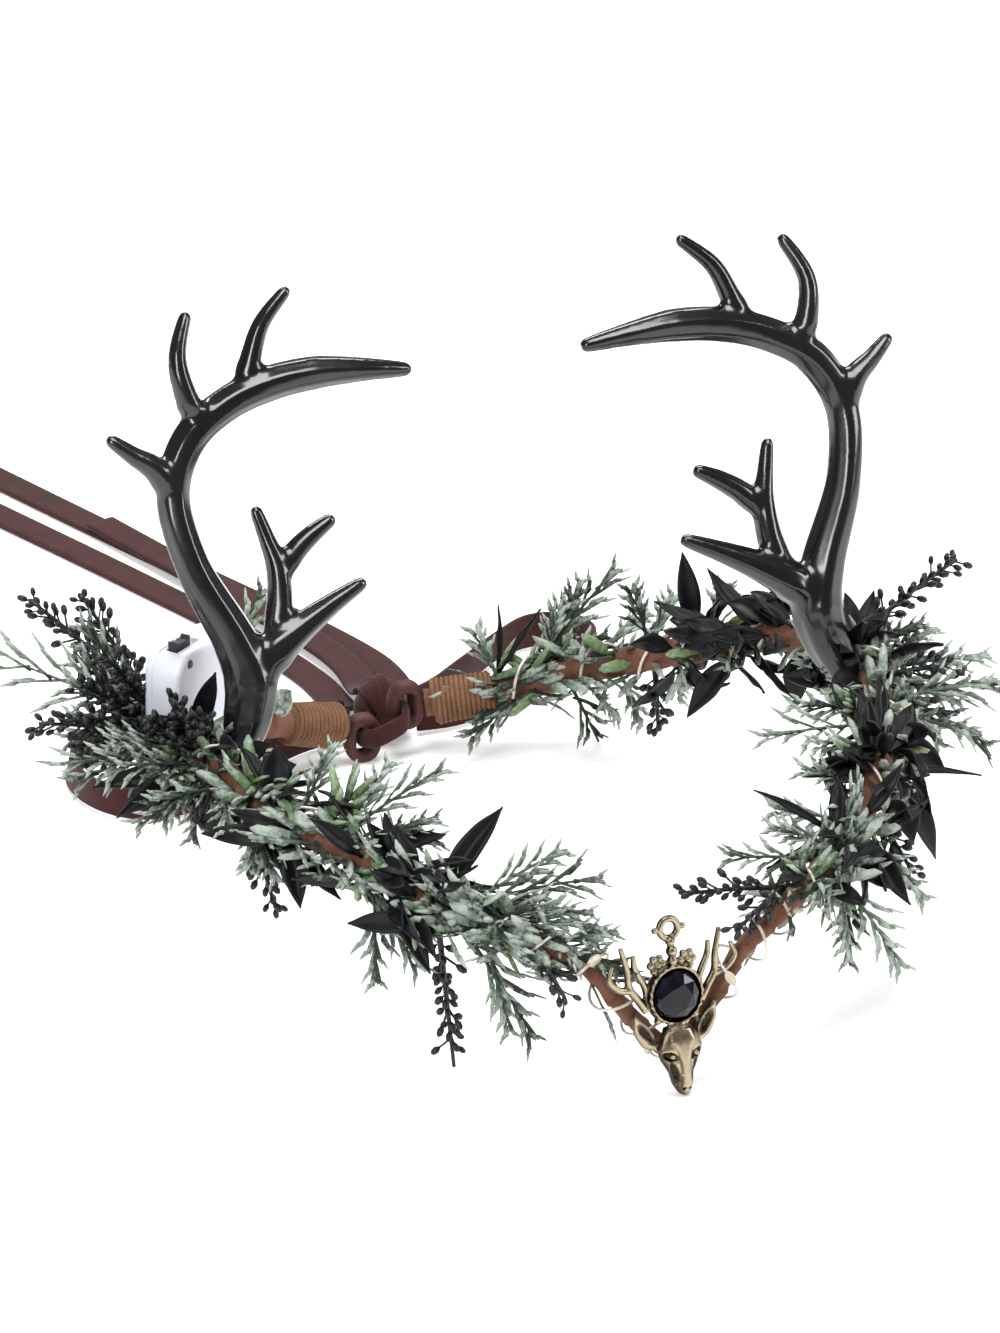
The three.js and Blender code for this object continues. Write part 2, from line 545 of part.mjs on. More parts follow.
function makeLeaf(curve, width, facing, grow) {
  const sizeAt = (t) => {
    const blade = t < 0.2 ? STEM : Math.max(STEM, width * Math.sin(Math.PI * ((t - 0.2) / 0.8) ** 0.8));
    const half = (t > 0.99 ? 0.5 : blade) / 2;
    return [half + grow, LEAF_THICKNESS / 2 + grow];
  };
  return sweep(curve, { sides: 4, steps: 4, sizeAt, up: facing });
}

// A flat frond: twigs or buds stand out of both sides of the stem, in turn, and shorten to the tip
function makeFrond(curve, form, facing, start, grow) {
  const length = curve.getLength();
  const half = STEM / 2 + grow;
  const reach = form.reach < 1 ? form.reach * length : form.reach;
  const step = (0.88 - start) / form.lobes;
  const width = (form.width + 2 * grow) / length;
  const sideOf = (first) => {
    const points = [];
    for (let lobe = 0; lobe < form.lobes; lobe += 1) {
      const t = first + lobe * step;
      const out = half + reach * (1 - 0.5 * t) + grow;
      const tip = t + form.sweep * (1 - 0.4 * t);
      const bud = (form.bud / 2 + grow) / length;
      points.push([half, t], [out, tip - bud], [out, tip + bud], [half, t + width]);
    }
    return points.map(([x, t]) => [x, Math.min(t, 0.985)]);
  };
  const right = sideOf(start);
  const left = sideOf(start + step / 2).map(([x, t]) => [-x, t]).reverse();
  const outline = [[half, -grow / length], ...right, [half * 0.7, 1], [-half * 0.7, 1], ...left,
    [-half, -grow / length]];
  const shape = new THREE.Shape(outline.map(([x, t]) => new THREE.Vector2(x, t * length)));
  const depth = form.thickness + 2 * grow;
  const plate = new THREE.ExtrudeGeometry(shape, { depth, bevelEnabled: false });
  const position = plate.attributes.position;
  for (let i = 0; i < position.count; i += 1) {
    const share = position.getY(i) / length;
    const t = THREE.MathUtils.clamp(share, 0, 1);
    const along = curve.getTangent(t);
    const rise = facing.clone().addScaledVector(along, -facing.dot(along)).normalize();
    const point = curve.getPoint(t).addScaledVector(along, (share - t) * length);
    point.addScaledVector(along.cross(rise), position.getX(i));
    point.addScaledVector(rise, position.getZ(i) - depth / 2);
    position.setXYZ(i, point.x, point.y, point.z);
  }
  return toSolid(plate);
}

// The shoots of one bunch are turned apart so that their blades cross as little as they can
function makeBunch(shoots, grow) {
  const root = bunchRoot(shoots);
  const solids = shoots.map((part, index) => {
    const curve = shootCurve(root, part);
    const facing = FACING.clone().add(V(FAN_TILT * index, 0, -FAN_TILT * index));
    if (part.kind === 'leaf') return makeLeaf(curve, part.size, facing, grow);
    const start = shoots.length > 1 ? FORK_START : LONE_START;
    return makeFrond(curve, part.kind === 'berry' ? BERRY : SPRAY, facing, start, grow);
  });
  return join(solids);
}

// Assembly: each piece is cut back to a small gap from the pieces set before it
const crown = new THREE.Group();
crown.position.set(RING_X, RING_Y, 0);
const set = [];

function addMesh(name, solid, finish) {
  const mesh = new THREE.Mesh(toGeometry(solid), finish);
  mesh.name = name;
  crown.add(mesh);
}

function touches(a, b) {
  return [0, 1, 2].every((axis) => a.min[axis] < b.max[axis] && b.min[axis] < a.max[axis]);
}

function seat(name, solid, grown, finish) {
  let fitted = solid;
  for (const other of set) {
    if (touches(fitted.boundingBox(), other.boundingBox())) fitted = fitted.subtract(other);
  }
  fitted = mainBody(fitted);
  addMesh(name, fitted, finish);
  if (grown) set.push(grown);
}

function placeCharm(solid) {
  const geometry = toGeometry(solid);
  geometry.rotateX(Math.PI / 2 - CHARM_LEAN).rotateZ(CHARM_YAW);
  geometry.translate(CHARM_SEAT.x, CHARM_SEAT.y, CHARM_SEAT.z);
  return toSolid(geometry);
}

seat('band', makeBand(0), makeBand(GAP), SUEDE);
seat('antler_right', makeAntler(1, 0), makeAntler(1, GAP), ANTLER_BLACK);
seat('antler_left', makeAntler(-1, 0), makeAntler(-1, GAP), ANTLER_BLACK);
seat('stag_charm', placeCharm(makeCharm()), null, BRONZE);
seat('charm_stone', placeCharm(makeStone()), null, STONE_BLACK);
seat('light_box', makeLightBox(), makeLightBox(GAP), WHITE_PLASTIC);
addMesh('light_switch', makeSwitch(), SWITCH_BLACK);
for (const [word, side] of [['right', 1], ['left', -1]]) {
  seat(`eyelet_${word}`, makeEyelet(side), makeEyelet(side, GAP), LEATHER);
  addMesh(`whipping_${word}`, makeWhipping(side), TWINE);
}
seat('tie_knot', makeKnot(), null, RIBBON_SUEDE);
for (const [name, route] of Object.entries(TIE_ROUTES)) addMesh(name, makeTie(route), RIBBON_SUEDE);
for (const node of new Set(GARLAND.map((part) => part.node))) {
  const shoots = GARLAND.filter((part) => part.node === node);
  seat(node, makeBunch(shoots, 0), makeBunch(shoots, GAP), GARLAND_MATERIAL[shoots[0].kind]);
}

export default crown;
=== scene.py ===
"""Antler crown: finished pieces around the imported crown, its light and its camera. Metres, +Z up."""
import math
import random

import bmesh
import bpy
import numpy as np
from bpy.props import FloatProperty, FloatVectorProperty, IntProperty, PointerProperty
from mathutils import Matrix, Vector


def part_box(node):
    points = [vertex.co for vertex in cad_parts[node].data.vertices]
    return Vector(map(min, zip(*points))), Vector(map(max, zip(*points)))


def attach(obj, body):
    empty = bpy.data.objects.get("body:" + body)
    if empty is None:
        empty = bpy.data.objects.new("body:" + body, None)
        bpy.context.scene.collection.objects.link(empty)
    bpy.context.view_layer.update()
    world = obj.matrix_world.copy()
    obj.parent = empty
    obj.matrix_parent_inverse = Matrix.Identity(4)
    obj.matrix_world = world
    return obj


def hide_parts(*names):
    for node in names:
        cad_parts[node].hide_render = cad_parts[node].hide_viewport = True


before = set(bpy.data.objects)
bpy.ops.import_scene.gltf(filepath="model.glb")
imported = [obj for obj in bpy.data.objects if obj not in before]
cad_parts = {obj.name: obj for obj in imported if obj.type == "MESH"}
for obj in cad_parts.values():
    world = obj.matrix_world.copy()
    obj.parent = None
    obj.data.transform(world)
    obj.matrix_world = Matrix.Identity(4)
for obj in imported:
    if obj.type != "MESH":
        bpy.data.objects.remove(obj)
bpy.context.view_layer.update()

bl_info = {
    "name": "Antler Crown",
    "version": (1, 0, 0),
    "blender": (4, 5, 0),
    "location": "View3D > Sidebar > Crown",
    "description": "Builds the finished pieces of an antler crown around its packed solids",
    "category": "Add Mesh",
}

MM = 0.001
FULL_TURN = 2 * math.pi
UP = Vector((0, 0, 1))
BACK = Vector((0, 1, 0))
BODY = "crown"
SIDES = (("right", 1), ("left", -1))
EYELET_X = 5.3
EYELET_Y = 99.0


def middle(node):
    low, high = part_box(node)
    return (low + high) / 2


# The ring's centre on the surface, from the mirrored antlers and from the left eyelet
RING = Vector((
    (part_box("antler_left")[0].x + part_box("antler_right")[1].x) / 2,
    middle("eyelet_left").y - EYELET_Y * MM,
    0.0,
))


def at(x, y, z):
    """A point of the ring's own millimetres in the frame."""
    return RING + Vector((x, y, z)) * MM


def srgb(red, green, blue):
    """A screen colour as the linear colour that shaders take."""
    parts = [c / 255 for c in (red, green, blue)]
    return tuple(c / 12.92 if c <= 0.04045 else ((c + 0.055) / 1.055) ** 2.4 for c in parts)


def lerp(a, b, share):
    return a + (b - a) * share


def ramp_value(rows, t):
    """A value read between evenly spaced rows."""
    last = len(rows) - 1
    step = min(int(t * last), last - 1)
    return lerp(rows[step], rows[step + 1], t * last - step)


def power(value, exponent):
    """A power that keeps the value's sign, for boxy rounds."""
    return math.copysign(abs(value) ** exponent, value)


# Settings
class CrownSizes(bpy.types.PropertyGroup):
    """Sizes of the finished pieces"""
    band_diameter: FloatProperty(
        name="Band diameter", description="Thickness of the wrapped ring", default=6.5 * MM, unit="LENGTH")
    wrap_pitch: FloatProperty(
        name="Wrap pitch", description="Distance from one turn of the lace to the next", default=6.2 * MM,
        unit="LENGTH")
    wire_diameter: FloatProperty(
        name="Wire diameter", description="Thickness of the light wire", default=0.75 * MM, unit="LENGTH")
    wire_pitch: FloatProperty(
        name="Wire pitch", description="Distance between turns of the light wire", default=19 * MM,
        unit="LENGTH")
    ribbon_width: FloatProperty(
        name="Ribbon width", description="Width of the flat suede tie", default=8 * MM, unit="LENGTH")
    ribbon_thickness: FloatProperty(
        name="Ribbon thickness", description="Thickness of the flat suede tie", default=1.2 * MM,
        unit="LENGTH")
    leaf_thickness: FloatProperty(
        name="Leaf thickness", description="Thickness of the black leaves", default=0.5 * MM, unit="LENGTH")
    fill: IntProperty(
        name="Fill", description="Extra fronds beside each main frond of a full bunch", default=2, min=0,
        max=6)


class CrownColours(bpy.types.PropertyGroup):
    """Colours of the finished pieces"""
    antler: FloatVectorProperty(
        name="Antler", description="Gloss black of the antlers", default=srgb(14, 14, 17), subtype="COLOR")
    suede: FloatVectorProperty(
        name="Suede", description="Rust brown of the band's lace", default=srgb(116, 78, 60), subtype="COLOR")
    ribbon: FloatVectorProperty(
        name="Ribbon", description="Red-brown of the tie", default=srgb(60, 27, 26), subtype="COLOR")
    leather: FloatVectorProperty(
        name="Leather", description="Dark leather of the eyelets", default=srgb(70, 36, 32), subtype="COLOR")
    twine: FloatVectorProperty(
        name="Twine", description="Tan of the twine whippings", default=srgb(120, 86, 62), subtype="COLOR")
    green: FloatVectorProperty(
        name="Green", description="Grey-green of the sprays", default=srgb(70, 86, 73), subtype="COLOR")
    frost: FloatVectorProperty(
        name="Frost", description="Pale frost on the sprays", default=srgb(171, 181, 170), subtype="COLOR")
    leaf: FloatVectorProperty(
        name="Leaf", description="Black of the leaves", default=srgb(14, 14, 17), subtype="COLOR")
    berry: FloatVectorProperty(
        name="Bud", description="Black of the bud sprigs", default=srgb(20, 21, 24), subtype="COLOR")
    bronze: FloatVectorProperty(
        name="Bronze", description="Bright bronze of the charm", default=srgb(180, 164, 138), subtype="COLOR")
    box: FloatVectorProperty(
        name="Box", description="White of the light box", default=srgb(228, 231, 240), subtype="COLOR")


# Curves
def smooth_route(points):
    """A curve through points, even between them, from 0 to 1."""
    last = len(points) - 1

    def position(t):
        place = min(max(t, 0.0), 1.0) * last
        step = min(int(place), last - 1)
        share = place - step
        p1, p2 = points[step], points[step + 1]
        p0 = points[step - 1] if step > 0 else p1 * 2 - p2
        p3 = points[step + 2] if step + 2 <= last else p2 * 2 - p1
        gaps = [math.sqrt((b - a).length) for a, b in ((p0, p1), (p1, p2), (p2, p3))]
        d0, d1, d2 = [max(gap, 1e-6) for gap in gaps]
        start = ((p1 - p0) / d0 - (p2 - p0) / (d0 + d1) + (p2 - p1) / d1) * d1
        end = ((p2 - p1) / d1 - (p3 - p1) / (d1 + d2) + (p3 - p2) / d2) * d1
        square, cube = share * share, share ** 3
        return (
            p1 + start * share + (p2 * 3 - p1 * 3 - start * 2 - end) * square
            + (p1 * 2 - p2 * 2 + start + end) * cube
        )

    return position


def bowed_route(start, bend, end):
    """A single bow from start to end, pulled towards bend."""
    return lambda t: start * (1 - t) ** 2 + bend * (2 * t * (1 - t)) + end * t ** 2


def heading(curve, t, step=2e-3):
    return (curve(min(t + step, 1.0)) - curve(max(t - step, 0.0))).normalized()


def section(curve, t, up):
    """Centre, side and rise of a curve's cross-section."""
    along = heading(curve, t)
    rise = (up - along * up.dot(along)).normalized()
    return curve(t), along.cross(rise), rise


def route_length(curve, steps=400):
    points = [curve(i / steps) for i in range(steps + 1)]
    return sum((b - a).length for a, b in zip(points, points[1:]))


class Measured:
    """A curve with the distance along it."""

    def __init__(self, curve, steps=900):
        self.curve = curve
        points = [curve(i / steps) for i in range(steps + 1)]
        self.marks = [0.0]
        for a, b in zip(points, points[1:]):
            self.marks.append(self.marks[-1] + (b - a).length)
        self.length = self.marks[-1]
        self.steps = steps

    def distance(self, t):
        place = t * self.steps
        step = min(int(place), self.steps - 1)
        return lerp(self.marks[step], self.marks[step + 1], place - step)


# Mesh tools
def rolled(bm, sides, steps, place_at, weld):
    """A grid rolled into a tube or a ring: place_at(t, angle) gives each point, and the seam is welded."""
    made = bmesh.ops.create_grid(bm, x_segments=sides, y_segments=steps, size=1.0, calc_uvs=True)["verts"]
    for vert in made:
        vert.co = place_at((vert.co.y + 1) / 2, (vert.co.x + 1) * math.pi)
    bmesh.ops.remove_doubles(bm, verts=made, dist=weld)


def sections(curve, up_at):
    """Cross-sections of a curve, each worked out once."""
    kept = {}

    def section_at(t):
        key = round(t, 6)
        if key not in kept:
            kept[key] = section(curve, t, up_at(t))
        return kept[key]

    return section_at


def tube(bm, curve, sides, steps, offset_at, up=UP):
    """A tube along a curve: offset_at(t, angle) gives the reach to the side and to the rise."""
    bm.loops.layers.uv.verify()
    section_at = sections(curve, lambda t: up)

    def place_at(t, angle):
        centre, side, rise = section_at(t)
        reach, lift = offset_at(t, angle)
        return centre + side * reach + rise * lift

    rolled(bm, sides, steps, place_at, 1e-7)


def round_tube(bm, curve, sides, steps, radius_at, up=UP):
    def offset_at(t, angle):
        radius = radius_at(t)
        return radius * math.cos(angle), radius * math.sin(angle)

    tube(bm, curve, sides, steps, offset_at, up)


def close_up(bm):
    """Caps open tube ends and turns the faces outwards."""
    rims = [edge for edge in bm.edges if edge.is_boundary]
    if rims:
        bmesh.ops.holes_fill(bm, edges=rims, sides=0)
    bmesh.ops.recalc_face_normals(bm, faces=bm.faces)


def strip(bm, curve, across, steps, half_width_at, lift_at, facing, thickness):
    """A flat blade along a curve: lift_at(t, x) raises it over its own plane."""
    bm.loops.layers.uv.verify()
    made = bmesh.ops.create_grid(bm, x_segments=across, y_segments=steps, size=1.0, calc_uvs=True)["verts"]
    section_at = sections(curve, facing)
    for vert in made:
        t, x = (vert.co.y + 1) / 2, vert.co.x
        centre, side, rise = section_at(t)
        vert.co = centre + side * (x * half_width_at(t)) + rise * (lift_at(t, x) - thickness / 2)
    faces = list({face for vert in made for face in vert.link_faces})
    bmesh.ops.recalc_face_normals(bm, faces=faces)
    lean = sum((face.normal.dot(facing(0.5)) for face in faces), 0.0)
    if lean < 0:
        bmesh.ops.reverse_faces(bm, faces=faces)
    bmesh.ops.solidify(bm, geom=faces, thickness=-thickness)


def ball(bm, place, radii, turn=None, u=10, v=8):
    """An oval ball at a place."""
    matrix = Matrix.Translation(place) @ (turn or Matrix.Identity(4)) @ Matrix.Diagonal((*radii, 1.0))
    bmesh.ops.create_uvsphere(bm, u_segments=u, v_segments=v, radius=1.0, matrix=matrix)


def everything(bm):
    return [*bm.verts, *bm.edges, *bm.faces]


def to_mesh(bm, name):
    mesh = bpy.data.meshes.new(name)
    bm.to_mesh(mesh)
    bm.free()
    return mesh


def show(shape, name, nodes, material, body=BODY, smooth=True):
    """Places a finished shape in the scene as the piece that stands for its nodes."""
    mesh = to_mesh(shape, name) if isinstance(shape, bmesh.types.BMesh) else shape
    piece = bpy.data.objects.new(name, mesh)
    bpy.context.scene.collection.objects.link(piece)
    mesh.materials.clear()
    mesh.materials.append(material)
    mesh.polygons.foreach_set("use_smooth", [smooth] * len(mesh.polygons))
    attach(piece, body)
    if nodes:
        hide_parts(*nodes)
    return piece


def round_edges(bm, edges, offset, segments):
    """Rounds some edges of a shape in its own mesh."""
    bmesh.ops.bevel(
        bm, geom=edges, offset=offset, segments=segments, profile=0.5, affect="EDGES", material=-1)


def soften_edges(piece, width):
    """Rounds the sharp edges of a piece."""
    bevel = piece.modifiers.new("Edges", "BEVEL")
    bevel.width = width
    bevel.segments = 2
    bevel.limit_method = "ANGLE"


def fuse(bm, voxel, smoothing):
    """Joins overlapping bodies into one soft skin."""
    raw = bpy.data.objects.new("raw", to_mesh(bm, "raw"))
    bpy.context.scene.collection.objects.link(raw)
    remesh = raw.modifiers.new("Skin", "REMESH")
    remesh.mode = "VOXEL"
    remesh.voxel_size = voxel
    soften = raw.modifiers.new("Soften", "SMOOTH")
    soften.factor = 0.5
    soften.iterations = smoothing
    view = bpy.context.evaluated_depsgraph_get()
    mesh = bpy.data.meshes.new_from_object(raw.evaluated_get(view))
    old = raw.data
    bpy.data.objects.remove(raw)
    bpy.data.meshes.remove(old)
    return mesh


def vertex_rows(mesh, key):
    """A three-part value of every vertex, as rows of an array."""
    values = np.empty(len(mesh.vertices) * 3)
    mesh.vertices.foreach_get(key, values)
    return values.reshape(-1, 3)


# Finishes
class Finish:
    """A procedural material under construction."""

    def __init__(self, name, **sockets):
        self.material = bpy.data.materials.new(name)
        self.material.use_nodes = True
        self.tree = self.material.node_tree
        self.shader = self.tree.nodes["Principled BSDF"]
        for key, value in sockets.items():
            self.shader.inputs[key.replace("_", " ")].default_value = value
        self.place = self.tree.nodes.new("ShaderNodeTexCoord").outputs["Object"]

    def feed(self, socket, value):
        """Links an output to a socket, or sets the socket's own value."""
        if isinstance(value, bpy.types.NodeSocket):
            self.tree.links.new(value, socket)
        else:
            socket.default_value = value

    def add(self, kind, **inputs):
        node = self.tree.nodes.new("ShaderNode" + kind)
        for key, value in inputs.items():
            self.feed(node.inputs[key.replace("_", " ")], value)
        return node

    def noise(self, scale, detail=4.0, roughness=0.55):
        node = self.add("TexNoise", Vector=self.place, Scale=scale, Detail=detail, Roughness=roughness)
        return node.outputs["Fac"]

    def ramp(self, factor, *stops):
        node = self.add("ValToRGB", Fac=factor)
        while len(node.color_ramp.elements) < len(stops):
            node.color_ramp.elements.new(0.5)
        for element, (place, colour) in zip(node.color_ramp.elements, stops):
            element.position = place
            element.color = (*colour, 1.0)
        return node.outputs["Color"]

    def attribute(self, name):
        node = self.add("Attribute")
        node.attribute_name = name
        return node.outputs["Fac"]

    def mix(self, factor, a, b):
        node = self.tree.nodes.new("ShaderNodeMix")
        node.data_type = "RGBA"
        for socket, value in zip((node.inputs[0], node.inputs[6], node.inputs[7]), (factor, a, b)):
            self.feed(socket, (*value, 1.0) if isinstance(value, tuple) else value)
        return node.outputs[2]

    def math(self, operation, *values):
        node = self.tree.nodes.new("ShaderNodeMath")
        node.operation = operation
        for socket, value in zip(node.inputs, values):
            self.feed(socket, value)
        return node.outputs[0]

    def link(self, output, name):
        self.tree.links.new(output, self.shader.inputs[name])

    def colour(self, factor, *stops):
        """The surface's colour as a ramp over a factor."""
        self.link(self.ramp(factor, *stops), "Base Color")

    def bump(self, height, strength, distance):
        node = self.add("Bump", Height=height, Strength=strength, Distance=distance)
        self.link(node.outputs["Normal"], "Normal")


def shade(colour, factor):
    return tuple(min(c * factor, 1.0) for c in colour)


def suede_finish(name, colour, grain):
    """Brushed leather: a soft nap in patches over a fine grain."""
    finish = Finish(name, Roughness=0.92, Specular_IOR_Level=0.2, Sheen_Weight=0.12, Sheen_Roughness=0.5)
    patches = finish.noise(140.0, 3.0)
    fine = finish.noise(grain, 5.0, roughness=0.7)
    base = finish.ramp(patches, (0.3, shade(colour, 0.62)), (0.55, tuple(colour)), (0.8, shade(colour, 1.3)))
    speckled = finish.ramp(fine, (0.3, shade(colour, 0.5)), (0.7, shade(colour, 1.35)))
    finish.link(finish.mix(0.35, base, speckled), "Base Color")
    finish.bump(fine, 0.45, 0.3 * MM)
    return finish.material


# Band: heights of its centre line by angle round the ring, 0 at the back and 180 at the front
GAP = 0.3
RING_HALF_WIDTH = 80.0
RING_HALF_LENGTH = 100.0
END_ANGLE = 7.3
BAND_RISE = ((0, 8.4), (20, 14.6), (42, 27), (73, 47), (97, 54), (130, 48.5), (142, 41.5), (156, 37),
             (167, 28.5), (174, 15.5), (180, 8))
BAND_STATIONS = (END_ANGLE, 20, 32, 42, 57, 73, 85, 97, 113, 130, 142, 149, 156, 162, 167, 171, 175)
END_LIFT = 2.0
END_LIFT_FADE = 26.0
FRONT = {"diameter": 4.2, "taper_from": 146, "taper_to": 164}
# Each turn of the lace laps the last one, sinks towards its far edge and waves a little
WRAP = {"lap": 0.75, "edge": 0.12, "thinning": 0.75, "sink": 0.4, "wave": 0.08, "grain": 900.0}


def band_height(angle):
    size = abs(angle)
    lift = max(0.0, 1 - size / END_LIFT_FADE) * math.copysign(END_LIFT, angle)
    for (low, low_z), (high, high_z) in zip(BAND_RISE, BAND_RISE[1:]):
        if size <= high:
            return lerp(low_z, high_z, (size - low) / (high - low)) + lift
    return BAND_RISE[-1][1]


def band_point(angle):
    """A point on the band's centre line: 0 at the back, 180 at the front, the left side negative."""
    turn = math.radians(angle)
    return at(RING_HALF_WIDTH * math.sin(turn), RING_HALF_LENGTH * math.cos(turn), band_height(angle))


def band_radius(angle, full):
    """Half thickness of the band at an angle: it thins towards the V at the front."""
    share = (abs(angle) - FRONT["taper_from"]) / (FRONT["taper_to"] - FRONT["taper_from"])
    share = min(max(share, 0.0), 1.0)
    return lerp(full, FRONT["diameter"] / 2 * MM, share * share * (3 - 2 * share))


def ring_angle(point):
    """The angle round the ring of a point near the band."""
    x, y, _ = (point - RING) / MM
    return math.degrees(math.atan2(x / RING_HALF_WIDTH, y / RING_HALF_LENGTH))


def band_curve():
    right = [band_point(angle) for angle in BAND_STATIONS]
    left = [band_point(-angle) for angle in reversed(BAND_STATIONS)]
    return smooth_route([*right, band_point(180), *left])


def build_band(sizes, colours):
    """The wire ring under its wound suede lace."""
    line = Measured(band_curve())
    bm = bmesh.new()

    def offset_at(t, angle):
        turn = (line.distance(t) / sizes.wrap_pitch + angle / FULL_TURN) % 1.0
        rise = WRAP["lap"] * min(turn / WRAP["edge"], 1.0) * (1 - WRAP["thinning"] * turn)
        rise += WRAP["wave"] * math.sin(3 * angle + 260 * t) - WRAP["sink"]
        size = band_radius(ring_angle(line.curve(t)), sizes.band_diameter / 2) + rise * MM
        return size * math.cos(angle), size * math.sin(angle)

    tube(bm, line.curve, 20, 1000, offset_at)
    close_up(bm)
    finish = suede_finish("band_suede", colours.suede, WRAP["grain"])
    show(bm, "band_lace", ["band"], finish)


# Light wire: its ends as shares of the band, and how far it stands off the lace
WIRE = {"start": 0.035, "end": 0.965, "points_a_turn": 18, "lift": 0.75, "slack": 2.4, "sway": 0.5}
LAMPS = {"count": 11, "start": 0.08, "end": 0.95, "radii": (1.15 * MM, 1.15 * MM, 2 * MM)}


def build_light_wire(sizes):
    """The thin wire that winds round the band, with its small clear lamps."""
    line = Measured(band_curve())
    turns = line.length / sizes.wire_pitch
    rng = random.Random(11)
    sway = [(rng.uniform(0, 6.28), rng.uniform(0.6, 1.4)) for _ in range(3)]
    points = []
    count = int(turns * WIRE["points_a_turn"])
    for i in range(count + 1):
        t = lerp(WIRE["start"], WIRE["end"], i / count)
        centre, side, rise = section(line.curve, t, UP)
        turn = FULL_TURN * turns * t
        turn += sum(WIRE["sway"] * math.sin(rate * 40 * t + start) for start, rate in sway)
        reach = band_radius(ring_angle(centre), sizes.band_diameter / 2)
        reach += (WIRE["lift"] + WIRE["slack"] * abs(math.sin(17 * t + 1.0)) ** 3) * MM
        points.append(centre + side * (reach * math.cos(turn)) + rise * (reach * math.sin(turn)))
    bm = bmesh.new()
    askew = Vector((0.31, 0.47, 0.83))
    round_tube(bm, smooth_route(points), 6, count * 2, lambda t: sizes.wire_diameter / 2, up=askew)
    close_up(bm)
    wire = Finish("light_wire", Roughness=0.38, Metallic=0.25, Coat_Weight=0.3)
    wire.colour(wire.noise(420.0), (0.3, srgb(176, 160, 150)), (0.7, srgb(228, 220, 212)))
    show(bm, "light_wire", [], wire.material)
    bm = bmesh.new()
    for i in range(LAMPS["count"]):
        t = lerp(LAMPS["start"], LAMPS["end"], i / (LAMPS["count"] - 1))
        spot = min(int(t * count), count - 1)
        along = (points[spot + 1] - points[spot]).normalized()
        turn = along.to_track_quat("Z", "Y").to_matrix().to_4x4()
        ball(bm, points[spot], LAMPS["radii"], turn, 12, 8)
    close_up(bm)
    lamp = Finish("lamp_clear", Roughness=0.12, Transmission_Weight=0.55, IOR=1.45)
    lamp.colour(lamp.noise(800.0), (0.3, srgb(236, 226, 196)), (0.7, srgb(250, 246, 232)))
    show(bm, "lamps", [], lamp.material)


# Eyelets and whippings
EYELET = {"width": 9.0, "height": 11.4, "depth": 4.4, "hole_width": 3.4, "hole_height": 6.6, "lift": 0.4}
WHIPPING = {"length": 15.0, "neck": 11.2, "tail": 10.2, "turns": 12, "strand": 0.62, "reach_angle": 11}


def build_eyelets(colours):
    """Leather loops at the band's ends."""
    finish = Finish("eyelet_leather", Roughness=0.62, Specular_IOR_Level=0.35)
    leather = tuple(colours.leather)
    grain = finish.add("TexVoronoi", Vector=finish.place, Scale=1500.0).outputs["Distance"]
    finish.colour(finish.noise(260.0), (0.3, shade(leather, 0.6)), (0.7, shade(leather, 1.35)))
    finish.bump(grain, 0.3, 0.15 * MM)
    half_width = (EYELET["width"] + EYELET["hole_width"]) / 4
    half_height = (EYELET["height"] + EYELET["hole_height"]) / 4
    wall = (EYELET["width"] - EYELET["hole_width"]) / 4
    for word, side in SIDES:
        z = EYELET["height"] / 2 if side < 0 else band_height(END_ANGLE) + EYELET["lift"]
        centre = at(side * EYELET_X, EYELET_Y, z)

        def place_at(t, angle, side=side, z=z, centre=centre):
            turn = FULL_TURN * t
            x = side * EYELET_X + half_width * power(math.cos(turn), 0.75)
            spot = at(x, EYELET_Y, z + half_height * power(math.sin(turn), 0.75))
            across = EYELET["depth"] / 2 * MM * power(math.cos(angle), 0.6)
            rise = wall * MM * power(math.sin(angle), 0.7)
            return spot + BACK * across + (spot - centre).normalized() * rise

        bm = bmesh.new()
        rolled(bm, 18, 56, place_at, 1e-6)
        close_up(bm)
        show(bm, f"eyelet_{word}_loop", [f"eyelet_{word}"], finish.material)


def build_whippings(colours):
    """Tan twine wound round each eyelet's neck."""
    finish = Finish("twine", Roughness=0.8, Specular_IOR_Level=0.25)
    twine = tuple(colours.twine)
    fibre = finish.noise(1500.0, 3.0)
    base = finish.ramp(finish.noise(220.0), (0.3, shade(twine, 0.7)), (0.7, shade(twine, 1.25)))
    strands = finish.ramp(fibre, (0.35, shade(twine, 0.45)), (0.65, shade(twine, 1.3)))
    finish.link(finish.mix(0.35, base, strands), "Base Color")
    finish.bump(fibre, 0.5, 0.2 * MM)
    length, turns, strand = WHIPPING["length"] * MM, WHIPPING["turns"], WHIPPING["strand"] * MM

    def radius_at(t):
        return lerp(WHIPPING["neck"], WHIPPING["tail"], t) / 2 * MM - strand

    for word, side in SIDES:
        start = band_point(side * END_ANGLE)
        along = (band_point(side * (END_ANGLE + WHIPPING["reach_angle"])) - start).normalized()
        start += along * (5 * GAP * MM)
        across = along.cross(UP).normalized()
        rise = across.cross(along)

        def coil(t, start=start, along=along, across=across, rise=rise):
            turn = FULL_TURN * turns * t
            round_it = across * (radius_at(t) * math.cos(turn)) + rise * (radius_at(t) * math.sin(turn))
            return start + along * (strand + (length - 2 * strand) * t) + round_it

        def core(t, start=start, along=along):
            return start + along * (0.4 * MM + (length - 0.8 * MM) * t)

        bm = bmesh.new()
        round_tube(bm, coil, 8, turns * 26, lambda t: strand * (1.0 + 0.05 * math.sin(90 * t)), up=along)
        round_tube(bm, core, 24, 6, radius_at)
        close_up(bm)
        show(bm, f"whipping_{word}_twine", [f"whipping_{word}"], finish.material)


